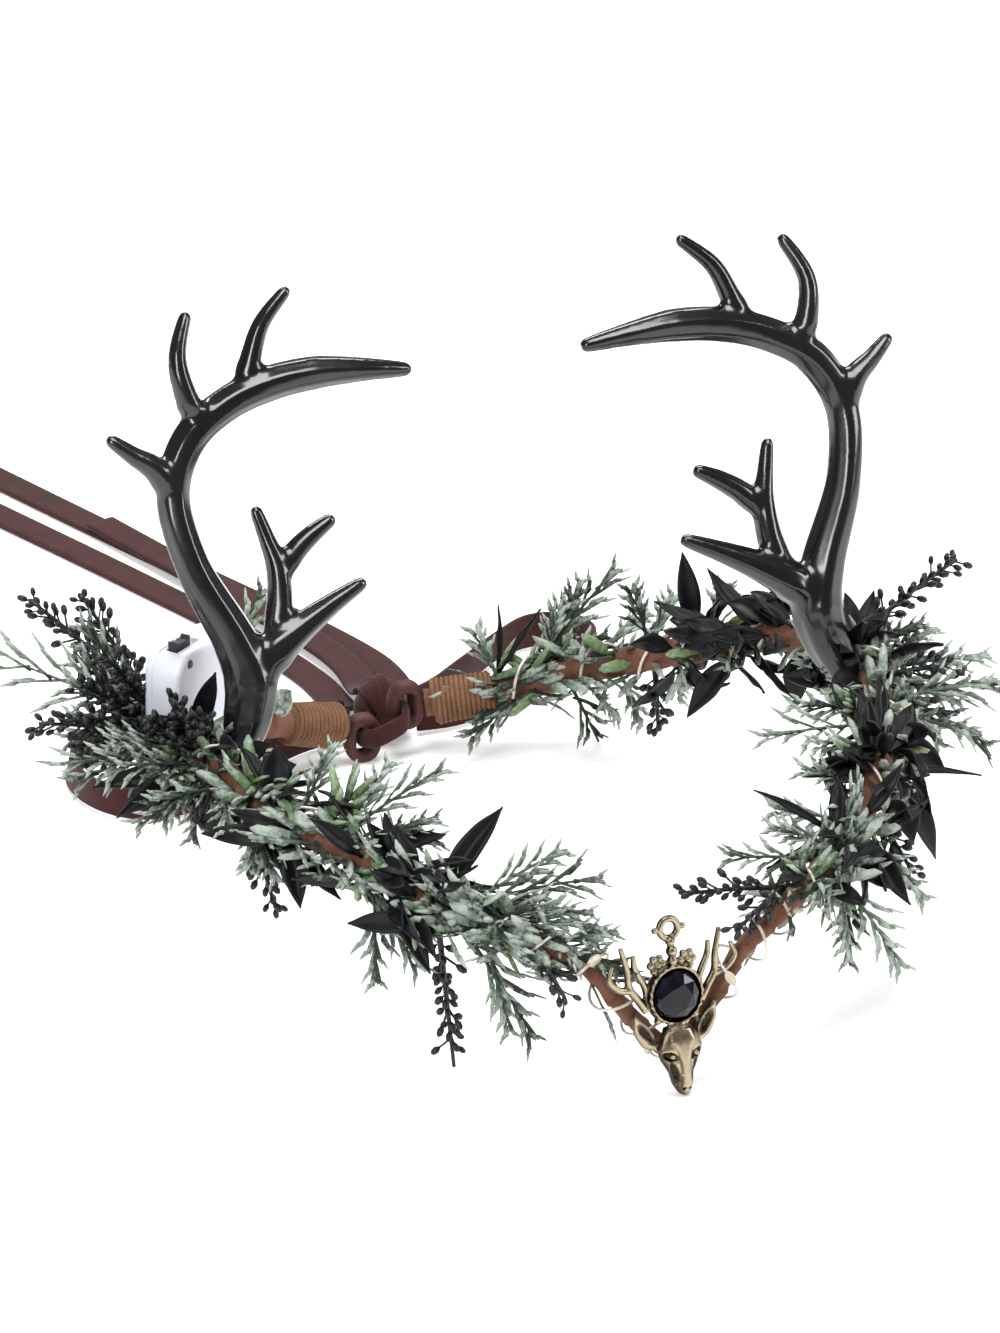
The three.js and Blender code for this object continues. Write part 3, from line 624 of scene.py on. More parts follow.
# Antlers: rows of x, y, z and diameter along each limb of the right one
ANTLER_LIMBS = {
    "beam": ((74.6, -12.4, 50.6, 4), (73.2, -12, 55.5, 7.4), (70.2, -10.4, 63, 10.4), (68.6, -8.2, 71, 11.6),
             (71.2, -5, 80, 9.6), (79, 3, 97, 7.4), (81, 10.5, 112, 7.2), (75.5, 15.5, 122.5, 7.6),
             (65.6, 19, 128.3, 7.4), (55.3, 20, 131.6, 7.6), (43.6, 20.3, 132.8, 7), (31.7, 19.4, 132.4, 4.8),
             (21.5, 19.6, 131, 2.6), (20.5, 19.6, 130.8, 1.2)),
    "outer": ((79.8, 7, 105, 6.2), (84, 11.5, 117, 5.6), (89.5, 14, 121, 3.8), (94, 16.5, 124.3, 2.6),
              (94.8, 17, 125, 1.4)),
    "upper": ((72, 16.5, 124, 7.4), (75.2, 18, 132, 4.8), (76.2, 21.6, 140, 3.8), (72.4, 27.4, 147.6, 2.6),
              (71.7, 28, 148.5, 1.4)),
    "inner": ((61.5, 19.4, 129.5, 7), (58.4, 22.6, 136.5, 4.6), (54.8, 25.4, 144.2, 3.6),
              (48, 28.6, 150.2, 2.5), (47.1, 29, 151, 1.4)),
    "brow": ((68.4, -8.6, 69.6, 10.4), (63, -7.2, 76.8, 9), (56, -5, 81, 6.6), (47, -2, 85, 4.4),
             (39.2, 0.4, 88, 2.6), (38.2, 0.7, 88.4, 1.4)),
    "brow_outer": ((64, -6.5, 76, 7.4), (60, -2.2, 84, 5.8), (58.9, 1.6, 93.5, 4.8), (60.4, 5.2, 100, 3.4),
                   (62, 8.3, 105.8, 2.5), (62.3, 8.9, 106.8, 1.3)),
    "brow_inner": ((59.4, 0, 90, 5), (54.8, 3.4, 95.8, 4.8), (49.4, 5.4, 99.5, 4), (44.3, 6.9, 102, 2.6),
                   (43.5, 7.1, 102.4, 1.3)),
}
HORN = {"skin": 0.32, "voxel": 0.5, "smoothing": 14, "fork_at": 0.16, "fork_reach": 1.3, "web_rounds": 120}


def web_forks(mesh, forks):
    """Fills the creases near the forks into soft webs and leaves the ridges elsewhere as they are."""
    count = len(mesh.vertices)
    points, normals = vertex_rows(mesh, "co"), vertex_rows(mesh, "normal")
    ends = np.empty(len(mesh.edges) * 2, dtype=np.int64)
    mesh.edges.foreach_get("vertices", ends)
    near = np.zeros(count)
    for place, reach in forks:
        away = np.linalg.norm(points - np.array(place), axis=1)
        near = np.maximum(near, np.clip(1.3 - away / reach, 0, 1))
    first, second = ends.reshape(-1, 2).T
    degree = np.bincount(ends, minlength=count)
    for _ in range(HORN["web_rounds"]):
        pull = np.empty_like(points)
        for axis in range(3):
            total = np.bincount(first, points[second, axis], count)
            total += np.bincount(second, points[first, axis], count)
            pull[:, axis] = total / degree - points[:, axis]
        hollow = (pull * normals).sum(axis=1) > 0
        points += pull * (0.5 * near * hollow)[:, None]
    mesh.vertices.foreach_set("co", points.ravel())
    mesh.update()


def build_antlers(colours):
    """Moulded antlers with ridges that run along every limb."""
    finish = Finish("antler_black", Roughness=0.2, Specular_IOR_Level=0.5, Coat_Weight=0.25,
                    Coat_Roughness=0.08)
    antler = tuple(colours.antler)
    patches = finish.noise(60.0, 3.0)
    finish.colour(patches, (0.3, shade(antler, 0.7)), (0.75, shade(antler, 1.6)))
    finish.link(finish.math("MULTIPLY_ADD", patches, 0.16, 0.12), "Roughness")
    finish.bump(finish.noise(700.0, 4.0), 0.08, 0.2 * MM)
    for word, mirror in SIDES:
        bm = bmesh.new()
        forks = []
        for name, rows in ANTLER_LIMBS.items():
            curve = smooth_route([at(x * mirror, y, z) for x, y, z, _ in rows])
            widths = [diameter / 2 * MM for *_, diameter in rows]
            root = 1.0 if name == "beam" else 0.5
            if name != "beam":
                forks.append((curve(HORN["fork_at"]), HORN["fork_reach"] * rows[0][3] * MM))

            def offset_at(t, angle, widths=widths, mirror=mirror, root=root):
                size = ramp_value(widths, t) + HORN["skin"] * MM
                ridge = 0.07 * math.cos(3 * angle + 2.2 * t) + 0.05 * math.cos(7 * angle - 3 * t)
                size *= (1 + ridge) * min(root + 2.5 * t, 1.0)
                return size * math.cos(angle) * mirror, size * math.sin(angle)

            tube(bm, curve, 28, 12 * len(rows), offset_at, up=Vector((0.3 * mirror, -1, 0.2)))
        close_up(bm)
        horn = fuse(bm, HORN["voxel"] * MM, HORN["smoothing"])
        web_forks(horn, forks)
        show(horn, f"antler_{word}_horn", [f"antler_{word}"], finish.material)


# Charm: upright from the muzzle tip, x across, y up, z out of its face, in millimetres
CHARM_PLACE = (
    Matrix.Translation(at(0, -106.6, 0.3)) @ Matrix.Rotation(math.radians(10), 4, "Z")
    @ Matrix.Rotation(math.radians(82), 4, "X") @ Matrix.Scale(MM, 4)
)
STONE = {"radius": 5.8, "y": 22.8, "floor": 0.9, "girdle": 1.6, "crown": 2.6, "table": 0.84, "keel": 0.6}
# Limbs of the left side: x, y, z and diameter
CHARM_PRONGS = (
    ((-7, 20, 0, 2.2), (-9, 23, 0, 2), (-11, 26, 0, 1.9), (-11.4, 30, 0.2, 1.7), (-12.8, 36, 0.3, 1.2)),
    ((-10.6, 25.4, 0, 1.9), (-14, 26.4, 0.3, 1.7), (-16.3, 29, 0.4, 1.5), (-15.4, 32.2, 0.4, 1.1)),
    ((-6.6, 21, 0, 2), (-6.9, 25.2, 0, 1.8), (-9.4, 30.4, 0.1, 1.6), (-9.7, 33.6, 0.3, 1.1)),
)
CHARM_STEM = ((0, 28.6, 0.5, 1.8), (0, 32.4, 0.6, 1.6), (0, 36.2, 0, 1.5))
CHARM_EAR = ((-4.6, 10.5, 0, 1.2), (-7.2, 13, 0, 4.2), (-9, 16, 0, 4), (-10.4, 19.2, 0, 0.8))
CHARM_EAR_HALF_DEPTH = 0.8
# Head: height, width and front
CHARM_HEAD = ((0.2, 2.6, 3.6), (1.6, 4.4, 4.6), (4.6, 6, 4.6), (8, 10, 4.4), (10.6, 11.6, 4.6),
              (13.6, 9, 4.2), (15.6, 6.4, 2.6))
CHARM_BACK = 0.9
# Forehead and bridge of the nose: height, half width and front
CHARM_BRIDGE = ((14.8, 2.6, 3.5), (12.4, 3.2, 4.3), (10, 1.9, 4.6), (7, 1.2, 4.7), (4, 1.1, 4.7),
                (1.6, 1.4, 4.6))
# Balls on the stem, the ring and the brow: x, y, z and radius
CHARM_BALLS = (
    (0, 30.8, 0.9, 1.3), (0, 33, 0.8, 1.4), (0, 35.2, 0.4, 1.2), (3.6, 38.2, 0, 0.8), (-3.6, 38.2, 0, 0.8),
    (4.9, 17.4, 1, 0.9), (-4.9, 17.4, 1, 0.9),
)
# Rings: radius, height, front and the wire's half width across and out
CHARM_RINGS = ((2.3, 38.2, 0.0, 0.85, 0.85), (6.5, STONE["y"], 0.6, 0.55, 1.7))
BEZEL_BEADS = {"count": 26, "reach": 6.7, "front": 1.9, "radius": 0.5}
CHARM_ROSETTE = {"place": (3.9, 30.4, 0.5), "petals": 6, "reach": 1.65, "petal": (0.95, 0.95, 0.9),
                 "heart": 0.9}
# Hollows cut into the face and ears, for both sides: x, y, half length, half width, turn and depth
CHARM_HOLLOWS = (
    (3.2, 9.0, 1.9, 1.0, 0.45, 0.95), (2.4, 5.6, 2.8, 0.75, 1.25, 0.6), (7.9, 14.8, 3.2, 1.15, 0.95, 0.55),
    (0.75, 1.3, 0.5, 0.4, 0.6, 0.5),
)
CHARM_EYE = {"place": (3.1, 9.1, 3.5), "size": 0.75, "turn": 0.45}


def charm_limb(bm, rows, mirror, half_depth=None):
    """A round limb along rows, or a flat one of an even depth."""
    curve = smooth_route([Vector((x * mirror, y, z)) for x, y, z, _ in rows])
    widths = [diameter / 2 for *_, diameter in rows]

    def offset_at(t, angle):
        size = ramp_value(widths, t)
        return size * math.cos(angle), (half_depth or size) * math.sin(angle)

    tube(bm, curve, 12, 6 * len(rows), offset_at)


def charm_ring(bm, radius, y, z, across, out):
    """A wire ring in the charm's plane."""
    def place_at(t, angle):
        turn, reach = FULL_TURN * t, radius + across * math.cos(angle)
        return Vector((reach * math.cos(turn), y + reach * math.sin(turn), z + out * math.sin(angle)))

    rolled(bm, 12, 60, place_at, 1e-5)


def charm_half(bm, mirror):
    """The prongs, ear, eye and rosette of one side."""
    for rows in CHARM_PRONGS:
        charm_limb(bm, rows, mirror)
    charm_limb(bm, CHARM_EAR, mirror, CHARM_EAR_HALF_DEPTH)
    x, y, z = CHARM_EYE["place"]
    size, turn = CHARM_EYE["size"], Matrix.Rotation(CHARM_EYE["turn"] * mirror, 4, "Z")
    ball(bm, Vector((x * mirror, y, z)), (1.3 * size, 0.8 * size, size), turn)
    x, y, z = CHARM_ROSETTE["place"]
    ball(bm, Vector((x * mirror, y, z + 0.6)), (CHARM_ROSETTE["heart"],) * 3)
    for petal in range(CHARM_ROSETTE["petals"]):
        turn = petal / CHARM_ROSETTE["petals"] * FULL_TURN
        reach = CHARM_ROSETTE["reach"]
        place = Vector((x * mirror + reach * math.cos(turn), y + reach * math.sin(turn), z))
        ball(bm, place, CHARM_ROSETTE["petal"])


def patinate(mesh):
    """Presses the hollows into a casting and marks each spot's tone: painted light where it faces the front,
    and patina in the hollows.
    """
    turn = np.array(CHARM_PLACE.inverted())
    local = vertex_rows(mesh, "co") @ turn[:3, :3].T + turn[:3, 3]
    front = vertex_rows(mesh, "normal") @ np.array(CHARM_PLACE.to_3x3().normalized())[:, 2]
    # Painted light: spots that face out of the charm's face are brightened and its sides darkened, as if lit
    # from the front.
    front_light_and_patina = 0.12 + 0.8 * np.clip((front - 0.25) / 0.75, 0.0, 1.0) ** 1.5
    ball_x, ball_y, _ = CHARM_EYE["place"]
    for x, y, half_length, half_width, lean, depth in CHARM_HOLLOWS:
        for mirror in (1, -1):
            across, up = (local[:, 0] - x * mirror) * mirror, local[:, 1] - y
            along = across * math.cos(lean) + up * math.sin(lean)
            aside = up * math.cos(lean) - across * math.sin(lean)
            weight = np.clip(1.3 - (along / half_length) ** 2 - (aside / half_width) ** 2, 0.0, 1.0)
            eye = np.hypot(local[:, 0] - ball_x * mirror, local[:, 1] - ball_y) < 0.8 * CHARM_EYE["size"]
            weight *= np.clip((front - 0.2) / 0.3, 0.0, 1.0) * ~eye
            local[:, 2] -= depth * weight
            front_light_and_patina *= 1 - 0.85 * weight
    turn = np.array(CHARM_PLACE)
    mesh.vertices.foreach_set("co", (local @ turn[:3, :3].T + turn[:3, 3]).ravel())
    mesh.attributes.new("front_light_and_patina", "FLOAT", "POINT").data.foreach_set("value", front_light_and_patina)
    mesh.update()
    return mesh


def bronze_finish(bronze):
    """Cast bronze, dark with patina in its hollows, bright on its worn edges, with painted light where it
    faces the front.
    """
    finish = Finish("charm_bronze", Metallic=1.0, Roughness=0.3)
    worn = finish.add("NewGeometry").outputs["Pointiness"]
    blotch = finish.noise(600.0)
    # The tone adds worn edges and blotches to the painted front light and the patina in the hollows.
    tone = finish.math("MULTIPLY_ADD", finish.math("SUBTRACT", worn, 0.5), 4.0, finish.attribute("front_light_and_patina"))
    tone = finish.math("MULTIPLY_ADD", finish.math("SUBTRACT", blotch, 0.5), 0.5, tone)
    finish.colour(tone, (0.08, shade(bronze, 0.05)), (0.5, shade(bronze, 0.26)), (1.0, bronze))
    finish.link(finish.math("MULTIPLY_ADD", blotch, 0.3, 0.16), "Roughness")
    finish.bump(blotch, 0.15, 0.1 * MM)
    return finish.material


def build_casting(bronze):
    """The cast stag head under its ringed bezel."""
    bm = bmesh.new()
    head = smooth_route([Vector((0, y, front / 2 - CHARM_BACK)) for y, _, front in CHARM_HEAD])
    widths = [width / 2 for _, width, _ in CHARM_HEAD]
    depths = [(front + 2 * CHARM_BACK) / 2 for *_, front in CHARM_HEAD]
    tube(bm, head, 28, 44, lambda t, angle: (
        ramp_value(widths, t) * math.cos(angle), 0.9 * ramp_value(depths, t) * math.sin(angle)))
    bridge = smooth_route([Vector((0, y, front - 1.0)) for y, _, front in CHARM_BRIDGE])
    spans = [half for _, half, _ in CHARM_BRIDGE]
    tube(bm, bridge, 24, 40, lambda t, angle: (
        ramp_value(spans, t) * power(math.cos(angle), 0.7), power(math.sin(angle), 0.7)))
    for mirror in (1, -1):
        charm_half(bm, mirror)
    charm_limb(bm, CHARM_STEM, 1)
    for x, y, z, radius in CHARM_BALLS:
        ball(bm, Vector((x, y, z)), (radius,) * 3)
    for row in CHARM_RINGS:
        charm_ring(bm, *row)
    plate = Matrix.Translation((0, STONE["y"], -0.2))
    bmesh.ops.create_cone(bm, cap_ends=True, segments=40, radius1=6.6, radius2=6.4, depth=1.6, matrix=plate)
    reach = BEZEL_BEADS["reach"]
    for i in range(BEZEL_BEADS["count"]):
        turn = i / BEZEL_BEADS["count"] * FULL_TURN
        place = Vector((reach * math.cos(turn), STONE["y"] + reach * math.sin(turn), BEZEL_BEADS["front"]))
        ball(bm, place, (BEZEL_BEADS["radius"],) * 3, None, 8, 6)
    close_up(bm)
    bmesh.ops.transform(bm, matrix=CHARM_PLACE, verts=bm.verts)
    casting = patinate(fuse(bm, 0.22 * MM, 2))
    show(casting, "stag_casting", ["stag_charm"], bronze_finish(bronze))


def build_charm(colours):
    """The stag casting and its black stone, cut with a table and three-sided facets."""
    build_casting(tuple(colours.bronze))
    bm = bmesh.new()
    radius, girdle, crown = STONE["radius"], STONE["girdle"], STONE["crown"]
    table, keel = STONE["table"], STONE["keel"]
    for vert in bmesh.ops.create_icosphere(bm, subdivisions=2, radius=1.0)["verts"]:
        x, y, z = vert.co
        below = max(z, -keel) / keel * (girdle - STONE["floor"])
        vert.co = (radius * x, radius * y, girdle + (crown * min(z, table) / table if z > 0 else below))
    bmesh.ops.dissolve_limit(bm, angle_limit=0.02, verts=bm.verts, edges=bm.edges)
    bmesh.ops.recalc_face_normals(bm, faces=bm.faces)
    bmesh.ops.transform(bm, matrix=CHARM_PLACE @ Matrix.Translation((0, STONE["y"], 0)), verts=bm.verts)
    gem = Finish("stone_black", Roughness=0.1, Specular_IOR_Level=0.3)
    gem.colour(gem.noise(300.0), (0.35, srgb(5, 5, 9)), (0.7, srgb(20, 19, 30)))
    show(bm, "charm_gem", ["charm_stone"], gem.material, smooth=False)


# Light box and switch, in the box's own millimetres
BOX_LOW, BOX_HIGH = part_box("light_box")
BOX = {"width": 26.0, "height": (BOX_HIGH - BOX_LOW).z / MM, "depth": 10.0, "corner": 5.0, "bevel": 1.4}
BOX_YAW = math.radians(38)
BOX_PLACE = Matrix.Translation(middle("light_box")) @ Matrix.Rotation(BOX_YAW, 4, "Z") @ Matrix.Scale(MM, 4)
SEAM = {"y": 2.45, "half_width": 0.35, "depth": 0.45}
SLOT = {"length": 9.4, "width": 3.0, "depth": 1.2, "offset": -4.0}
SWITCH = {"length": 5.6, "width": 2.3, "height": 3.0, "start": -1.6, "ridges": 6, "groove": 0.5}
SCREWS = {"places": ((-8.6, 8.0), (8.6, -8.0)), "foot": 1.1, "top": 0.9, "height": 0.3, "proud": 0.02}


def cut_seam(bm, half):
    """A groove round the box where its two halves meet."""
    for y in (SEAM["y"] - SEAM["half_width"], SEAM["y"], SEAM["y"] + SEAM["half_width"]):
        bmesh.ops.bisect_plane(bm, geom=everything(bm), plane_co=(0, y, 0), plane_no=BACK)
    for vert in bm.verts:
        if abs(vert.co.y - SEAM["y"]) < 1e-4:
            vert.co.x *= 1 - SEAM["depth"] / half.x
            vert.co.z *= 1 - SEAM["depth"] / half.z


def cut_slot(bm):
    """The switch's slot, sunk into the top of the box."""
    left, right = SLOT["offset"] - SLOT["length"] / 2, SLOT["offset"] + SLOT["length"] / 2
    wide = SLOT["width"] / 2
    for place, normal in (((left, 0, 0), (1, 0, 0)), ((right, 0, 0), (1, 0, 0)), ((0, -wide, 0), (0, 1, 0)),
                          ((0, wide, 0), (0, 1, 0))):
        top = [face for face in bm.faces if face.normal.z > 0.99]
        geom = [*{v for f in top for v in f.verts}, *{e for f in top for e in f.edges}, *top]
        bmesh.ops.bisect_plane(bm, geom=geom, plane_co=place, plane_no=normal)
    sunk = [face for face in bm.faces if face.normal.z > 0.99
            and left < face.calc_center_median().x < right and abs(face.calc_center_median().y) < wide]
    made = bmesh.ops.extrude_face_region(bm, geom=sunk)["geom"]
    bmesh.ops.delete(bm, geom=sunk, context="FACES")
    floor = [item for item in made if isinstance(item, bmesh.types.BMVert)]
    bmesh.ops.translate(bm, vec=(0, 0, -SLOT["depth"]), verts=floor)


def build_box_shell(half, box):
    """The white box with its seam and slot."""
    bm = bmesh.new()
    bmesh.ops.create_cube(bm, size=1.0, matrix=Matrix.Diagonal((*(half * 2), 1.0)))
    upright = [edge for edge in bm.edges if abs(edge.verts[0].co.y - edge.verts[1].co.y) > half.y]
    round_edges(bm, upright, BOX["corner"], 7)
    rims = [edge for edge in bm.edges if abs(edge.verts[0].co.y - edge.verts[1].co.y) < 1e-6]
    round_edges(bm, rims, BOX["bevel"], 3)
    cut_seam(bm, half)
    cut_slot(bm)
    bmesh.ops.recalc_face_normals(bm, faces=bm.faces)
    bmesh.ops.transform(bm, matrix=BOX_PLACE, verts=bm.verts)
    white = Finish("box_white", Roughness=0.34, Specular_IOR_Level=0.5, Subsurface_Weight=0.08)
    white.colour(white.noise(90.0), (0.3, shade(box, 0.9)), (0.7, box))
    white.bump(white.noise(1800.0), 0.06, 0.1 * MM)
    piece = show(bm, "light_box_shell", ["light_box"], white.material)
    soften_edges(piece, 0.2 * MM)


def build_light_box(colours):
    """White battery box with a seam, a switch slot and two screw heads, and the switch's knob."""
    half = Vector((BOX["width"], BOX["depth"], BOX["height"])) / 2
    build_box_shell(half, tuple(colours.box))

    black = Finish("switch_black", Roughness=0.5)
    black.colour(black.noise(900.0), (0.3, srgb(18, 18, 20)), (0.7, srgb(46, 46, 50)))
    bm = bmesh.new()
    for x, z in SCREWS["places"]:
        spot = Matrix.Translation((x, -half.y - SCREWS["proud"], z)) @ Matrix.Rotation(math.pi / 2, 4, "X")
        bmesh.ops.create_cone(bm, cap_ends=True, segments=20, radius1=SCREWS["foot"], radius2=SCREWS["top"],
                              depth=SCREWS["height"], matrix=spot)
    bmesh.ops.transform(bm, matrix=BOX_PLACE, verts=bm.verts)
    show(bm, "box_screws", [], black.material, smooth=False)

    bm = bmesh.new()
    size = Matrix.Diagonal((SWITCH["length"], SWITCH["width"], SWITCH["height"], 1.0))
    lift = half.z - SLOT["depth"] + GAP + SWITCH["height"] / 2
    centre = SLOT["offset"] + SWITCH["start"]
    bmesh.ops.create_cube(bm, size=1.0, matrix=Matrix.Translation((centre, 0, lift)) @ size)
    for cut in range(1, SWITCH["ridges"]):
        x = centre + SWITCH["length"] * (cut / SWITCH["ridges"] - 0.5)
        bmesh.ops.bisect_plane(bm, geom=everything(bm), plane_co=(x, 0, 0), plane_no=(1, 0, 0))
        if cut % 2:
            ridge = [v for v in bm.verts if abs(v.co.x - x) < 1e-4 and v.co.z > lift]
            bmesh.ops.translate(bm, vec=(0, 0, -SWITCH["groove"]), verts=ridge)
    bmesh.ops.transform(bm, matrix=BOX_PLACE, verts=bm.verts)
    bmesh.ops.recalc_face_normals(bm, faces=bm.faces)
    show(bm, "light_switch_knob", ["light_switch"], black.material, body="switch",
         smooth=False)


# Ribbon tie: routes on the surface, in the ring's millimetres
KNOT = (3.5, 111.5, 7.2)
KNOT_SIZE = (7.6, 7.4, 6.6)
# Wraps of the knot: lean and push to the right
KNOT_WRAPS = ((0.25, 0.0), (-0.5, 1.2))
KNOT_CORE = 0.84
KNOT_WRAP = {"reach": 0.93, "half_width": 3.4, "half_thickness": 0.6}
EYELET_LACE = {"half_width": 2.3, "half_thickness": 0.9}
TIE_ROUTES = {
    "tie_loop_left": (
        (-5, 109, 5), (-18, 105.6, 4.6), (-38, 93, 4.6), (-55, 81, 4.6), (-66, 81.5, 4.6), (-73.5, 90, 4.6),
        (-75, 103, 4.6), (-70, 115, 4.6), (-56, 121.5, 4.6), (-34, 121, 4.6), (-16, 117.5, 4.6),
        (-4.4, 114, 5)),
    "tie_loop_right": (
        (11.8, 109, 5), (22, 110.5, 4.6), (36, 115.5, 4.6), (50, 122, 4.6), (61, 130, 4.6), (66, 139, 4.6),
        (63, 147, 4.6), (54, 149.5, 4.6), (43, 143, 4.6), (31, 131, 4.6), (20, 120.5, 4.6), (11.4, 114.6, 5)),
    "tie_tail_lower": (
        (-1.6, 118.8, 4.6), (-1.4, 124, 2.4), (-0.6, 132, 0.8), (-1, 146, 0.7), (-8, 178, 0.7),
        (-21, 217, 0.7), (-41.9, 275.4, 0.7)),
    "tie_tail_upper": (
        (8.4, 118.2, 4.6), (12, 124, 2.4), (15.4, 133, 0.8), (16, 150, 0.7), (10.5, 172, 0.7), (-3, 208, 0.7),
        (-17, 246, 0.7), (-34.6, 296.4, 0.7)),
    "tie_tail_cut": (
        (3.6, 119.2, 8.4), (5.2, 126, 5), (7, 135, 2.6), (8, 148, 2.3), (6, 163, 2.3), (-4, 199, 2.3),
        (-19, 251, 2.3)),
}
LACE_ROUTE = ((6, 107, 9.5), (5.3, 103, 10.4), (5.3, 99, 10.6), (3.6, 95, 9.8), (0, 94.2, 8.4),
              (-3.6, 95, 6.8), (-5.4, 99, 5.8), (-4.6, 103, 5.8), (-1, 107, 6.4))
CORD_STEPS = 160


def build_run(name, points, width, thickness, material):
    """One run of the flat lace: a loop stands on edge, a tail lies flat."""
    curve = smooth_route([at(*point) for point in points])
    on_edge = "loop" in name

    def facing(t):
        if not on_edge:
            return UP
        level = heading(curve, t).cross(UP)
        return (level + UP * (0.12 * math.sin(6 * math.pi * t))).normalized()

    def lift_at(t, x):
        return 0.25 * MM * math.sin(9 * math.pi * t) * (x if on_edge else 0.0)

    bm = bmesh.new()
    strip(bm, curve, 6, 150, lambda t: width / 2, lift_at, facing, thickness)
    bmesh.ops.recalc_face_normals(bm, faces=bm.faces)
    piece = show(bm, f"{name}_lace", [name], material)
    soften_edges(piece, 0.35 * MM)
    path = [curve(i / CORD_STEPS) for i in range(CORD_STEPS + 1)]
    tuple(path[0])
    route_length(curve)


def build_knot(material):
    """The knot's wraps over its core, with the lace that passes through both eyelets."""
    bm = bmesh.new()
    ball(bm, at(*KNOT), [size * KNOT_CORE * MM for size in KNOT_SIZE], None, 28, 18)
    for lean, push in KNOT_WRAPS:
        turn = Matrix.Rotation(lean, 3, "Y")

        def place_at(t, angle, turn=turn, push=push):
            round_it = FULL_TURN * t
            flat = Vector((push, KNOT_WRAP["reach"] * KNOT_SIZE[1] * math.cos(round_it),
                           KNOT_WRAP["reach"] * KNOT_SIZE[2] * math.sin(round_it)))
            spot = at(*KNOT) + turn @ flat * MM
            across = KNOT_WRAP["half_width"] * MM * power(math.cos(angle), 0.6)
            rise = KNOT_WRAP["half_thickness"] * MM * power(math.sin(angle), 0.8)
            return spot + turn @ Vector((1, 0, 0)) * across + (spot - at(*KNOT)).normalized() * rise

        rolled(bm, 14, 60, place_at, 1e-6)
    tube(bm, smooth_route([at(*point) for point in LACE_ROUTE]), 16, 60, lambda t, angle: (
        EYELET_LACE["half_thickness"] * MM * power(math.cos(angle), 0.7),
        EYELET_LACE["half_width"] * MM * power(math.sin(angle), 0.6)))
    close_up(bm)
    show(bm, "tie_knot_lace", ["tie_knot"], material)


def build_tie(sizes, colours):
    """Flat suede lace: a bow of two loops on edge, three tails along the surface, and its knot."""
    material = suede_finish("ribbon_suede", tuple(colours.ribbon), 1100.0)
    for name, points in TIE_ROUTES.items():
        build_run(name, points, sizes.ribbon_width, sizes.ribbon_thickness, material)
    build_knot(material)


# Garland: a node's angle round the ring, and its shoots' reach right, back and up, with a leaf's width
GARLAND = {
    "leaf_left_low": (-95, ((-23, -4, -10, 8), (-26.5, 3, -4, 7), (-9, -12, -15, 6))),
    "leaf_front_left_low": (-117, ((-2, -10, -16, 8), (5, -15, -14, 7))),
    "leaf_front_left_round": (-112, ((3, 4, 14, 10),)),
    "leaf_front_left_in": (-129, ((20.5, -2, 3, 7),)),
    "leaf_front_left_up": (-142, ((18, 4, 20, 8),)),
    "leaf_front_left_down": (-137, ((1.5, -14, -16, 7),)),
    "leaf_pale": (-24, ((7, -5, 8, 9),)),
    "leaf_right_base": (90, ((12, 9, 7, 8), (-11, -14, 7, 8))),
    "leaf_right_low": (121, ((5, -8, -18.5, 10), (12, -6, -24, 9), (23, -1, -6, 2.4))),
    "leaf_right_in": (125, ((-20, -4, 3.5, 8),)),
    "leaf_front_right_thin": (141, ((-20.6, 4, 15, 3),)),
    "leaf_front_right_low": (138, ((9.5, -10, -16, 7),)),
    "leaf_back_tall": (53, ((-2, 6, 22, 7),)),
    "leaf_back_low": (60, ((-11, 2, -18, 8),)),
    "leaf_back_top": (67, ((-7, 9, 7, 8), (7, 9, 6, 8))),
    "leaf_back_hang": (72, ((1, -2, -16, 8),)),
    "leaf_back_thin": (20, ((11, 4, 17.5, 2.2), (1.7, 6, 19, 2.2))),
    "berry_left_back": (-66, ((-30.7, 6, 32), (-17.4, 8, 30))),
    "berry_left_out": (-86, ((-37, -6, 13), (-6, -11, 16))),
    "berry_left_hang": (-106, ((3, -12, -24),)),
    "berry_front_left_hang": (-143, ((4.3, 2.8, -40.95),)),
    "berry_front_left_end": (-159, ((2, -11, -9),)),
    "berry_right_out": (104, ((12, -6, -3),)),
    "berry_right_back": (84, ((34, 12, 14),)),
    "berry_front_right_low": (133, ((9, -7, -15),)),
    "berry_front_right_in": (156, ((-24, 3, 3), (-16, -10, -1))),
    "berry_back_down": (44, ((4, 4, -20),)),
    "spray_left_out": (-79, ((-37, 1, 22), (-25, -8, 17))),
    "spray_left_fan": (-101, ((-21, -8, -3.5),)),
    "spray_left_low": (-108, ((-1.5, -16, -10),)),
    "spray_left_behind": (-40, ((14, 5, 24),)),
    "spray_front_left_up": (-125, ((13, 6, 13), (22, 0, 14))),
    "spray_front_left_in": (-147, ((28, -1, 5.5), (22, 6, 9))),
    "spray_front_left_down": (-129, ((7, -16, -18.5),)),
    "spray_front_left_hang": (-148, ((8, -14, -21),)),
    "spray_front_left_end": (-155, ((16, -4, 1),)),
    "spray_right_out": (100, ((28.5, 0, -4.5), (21, -10, -12))),
    "spray_right_up": (94, ((17, 7, 3.5),)),
    "spray_right_in": (112, ((-27, -4, 3.6),)),
    "spray_front_right_in": (148, ((-19.6, 0, 6),)),
    "spray_front_right_down": (146, ((11, -12, -19), (-1, -14, -14))),
    "spray_back_up": (26, ((17, 4, 20.5), (10, 7, 15))),
    "spray_back_down": (30, ((10, 4, -19.85),)),
}
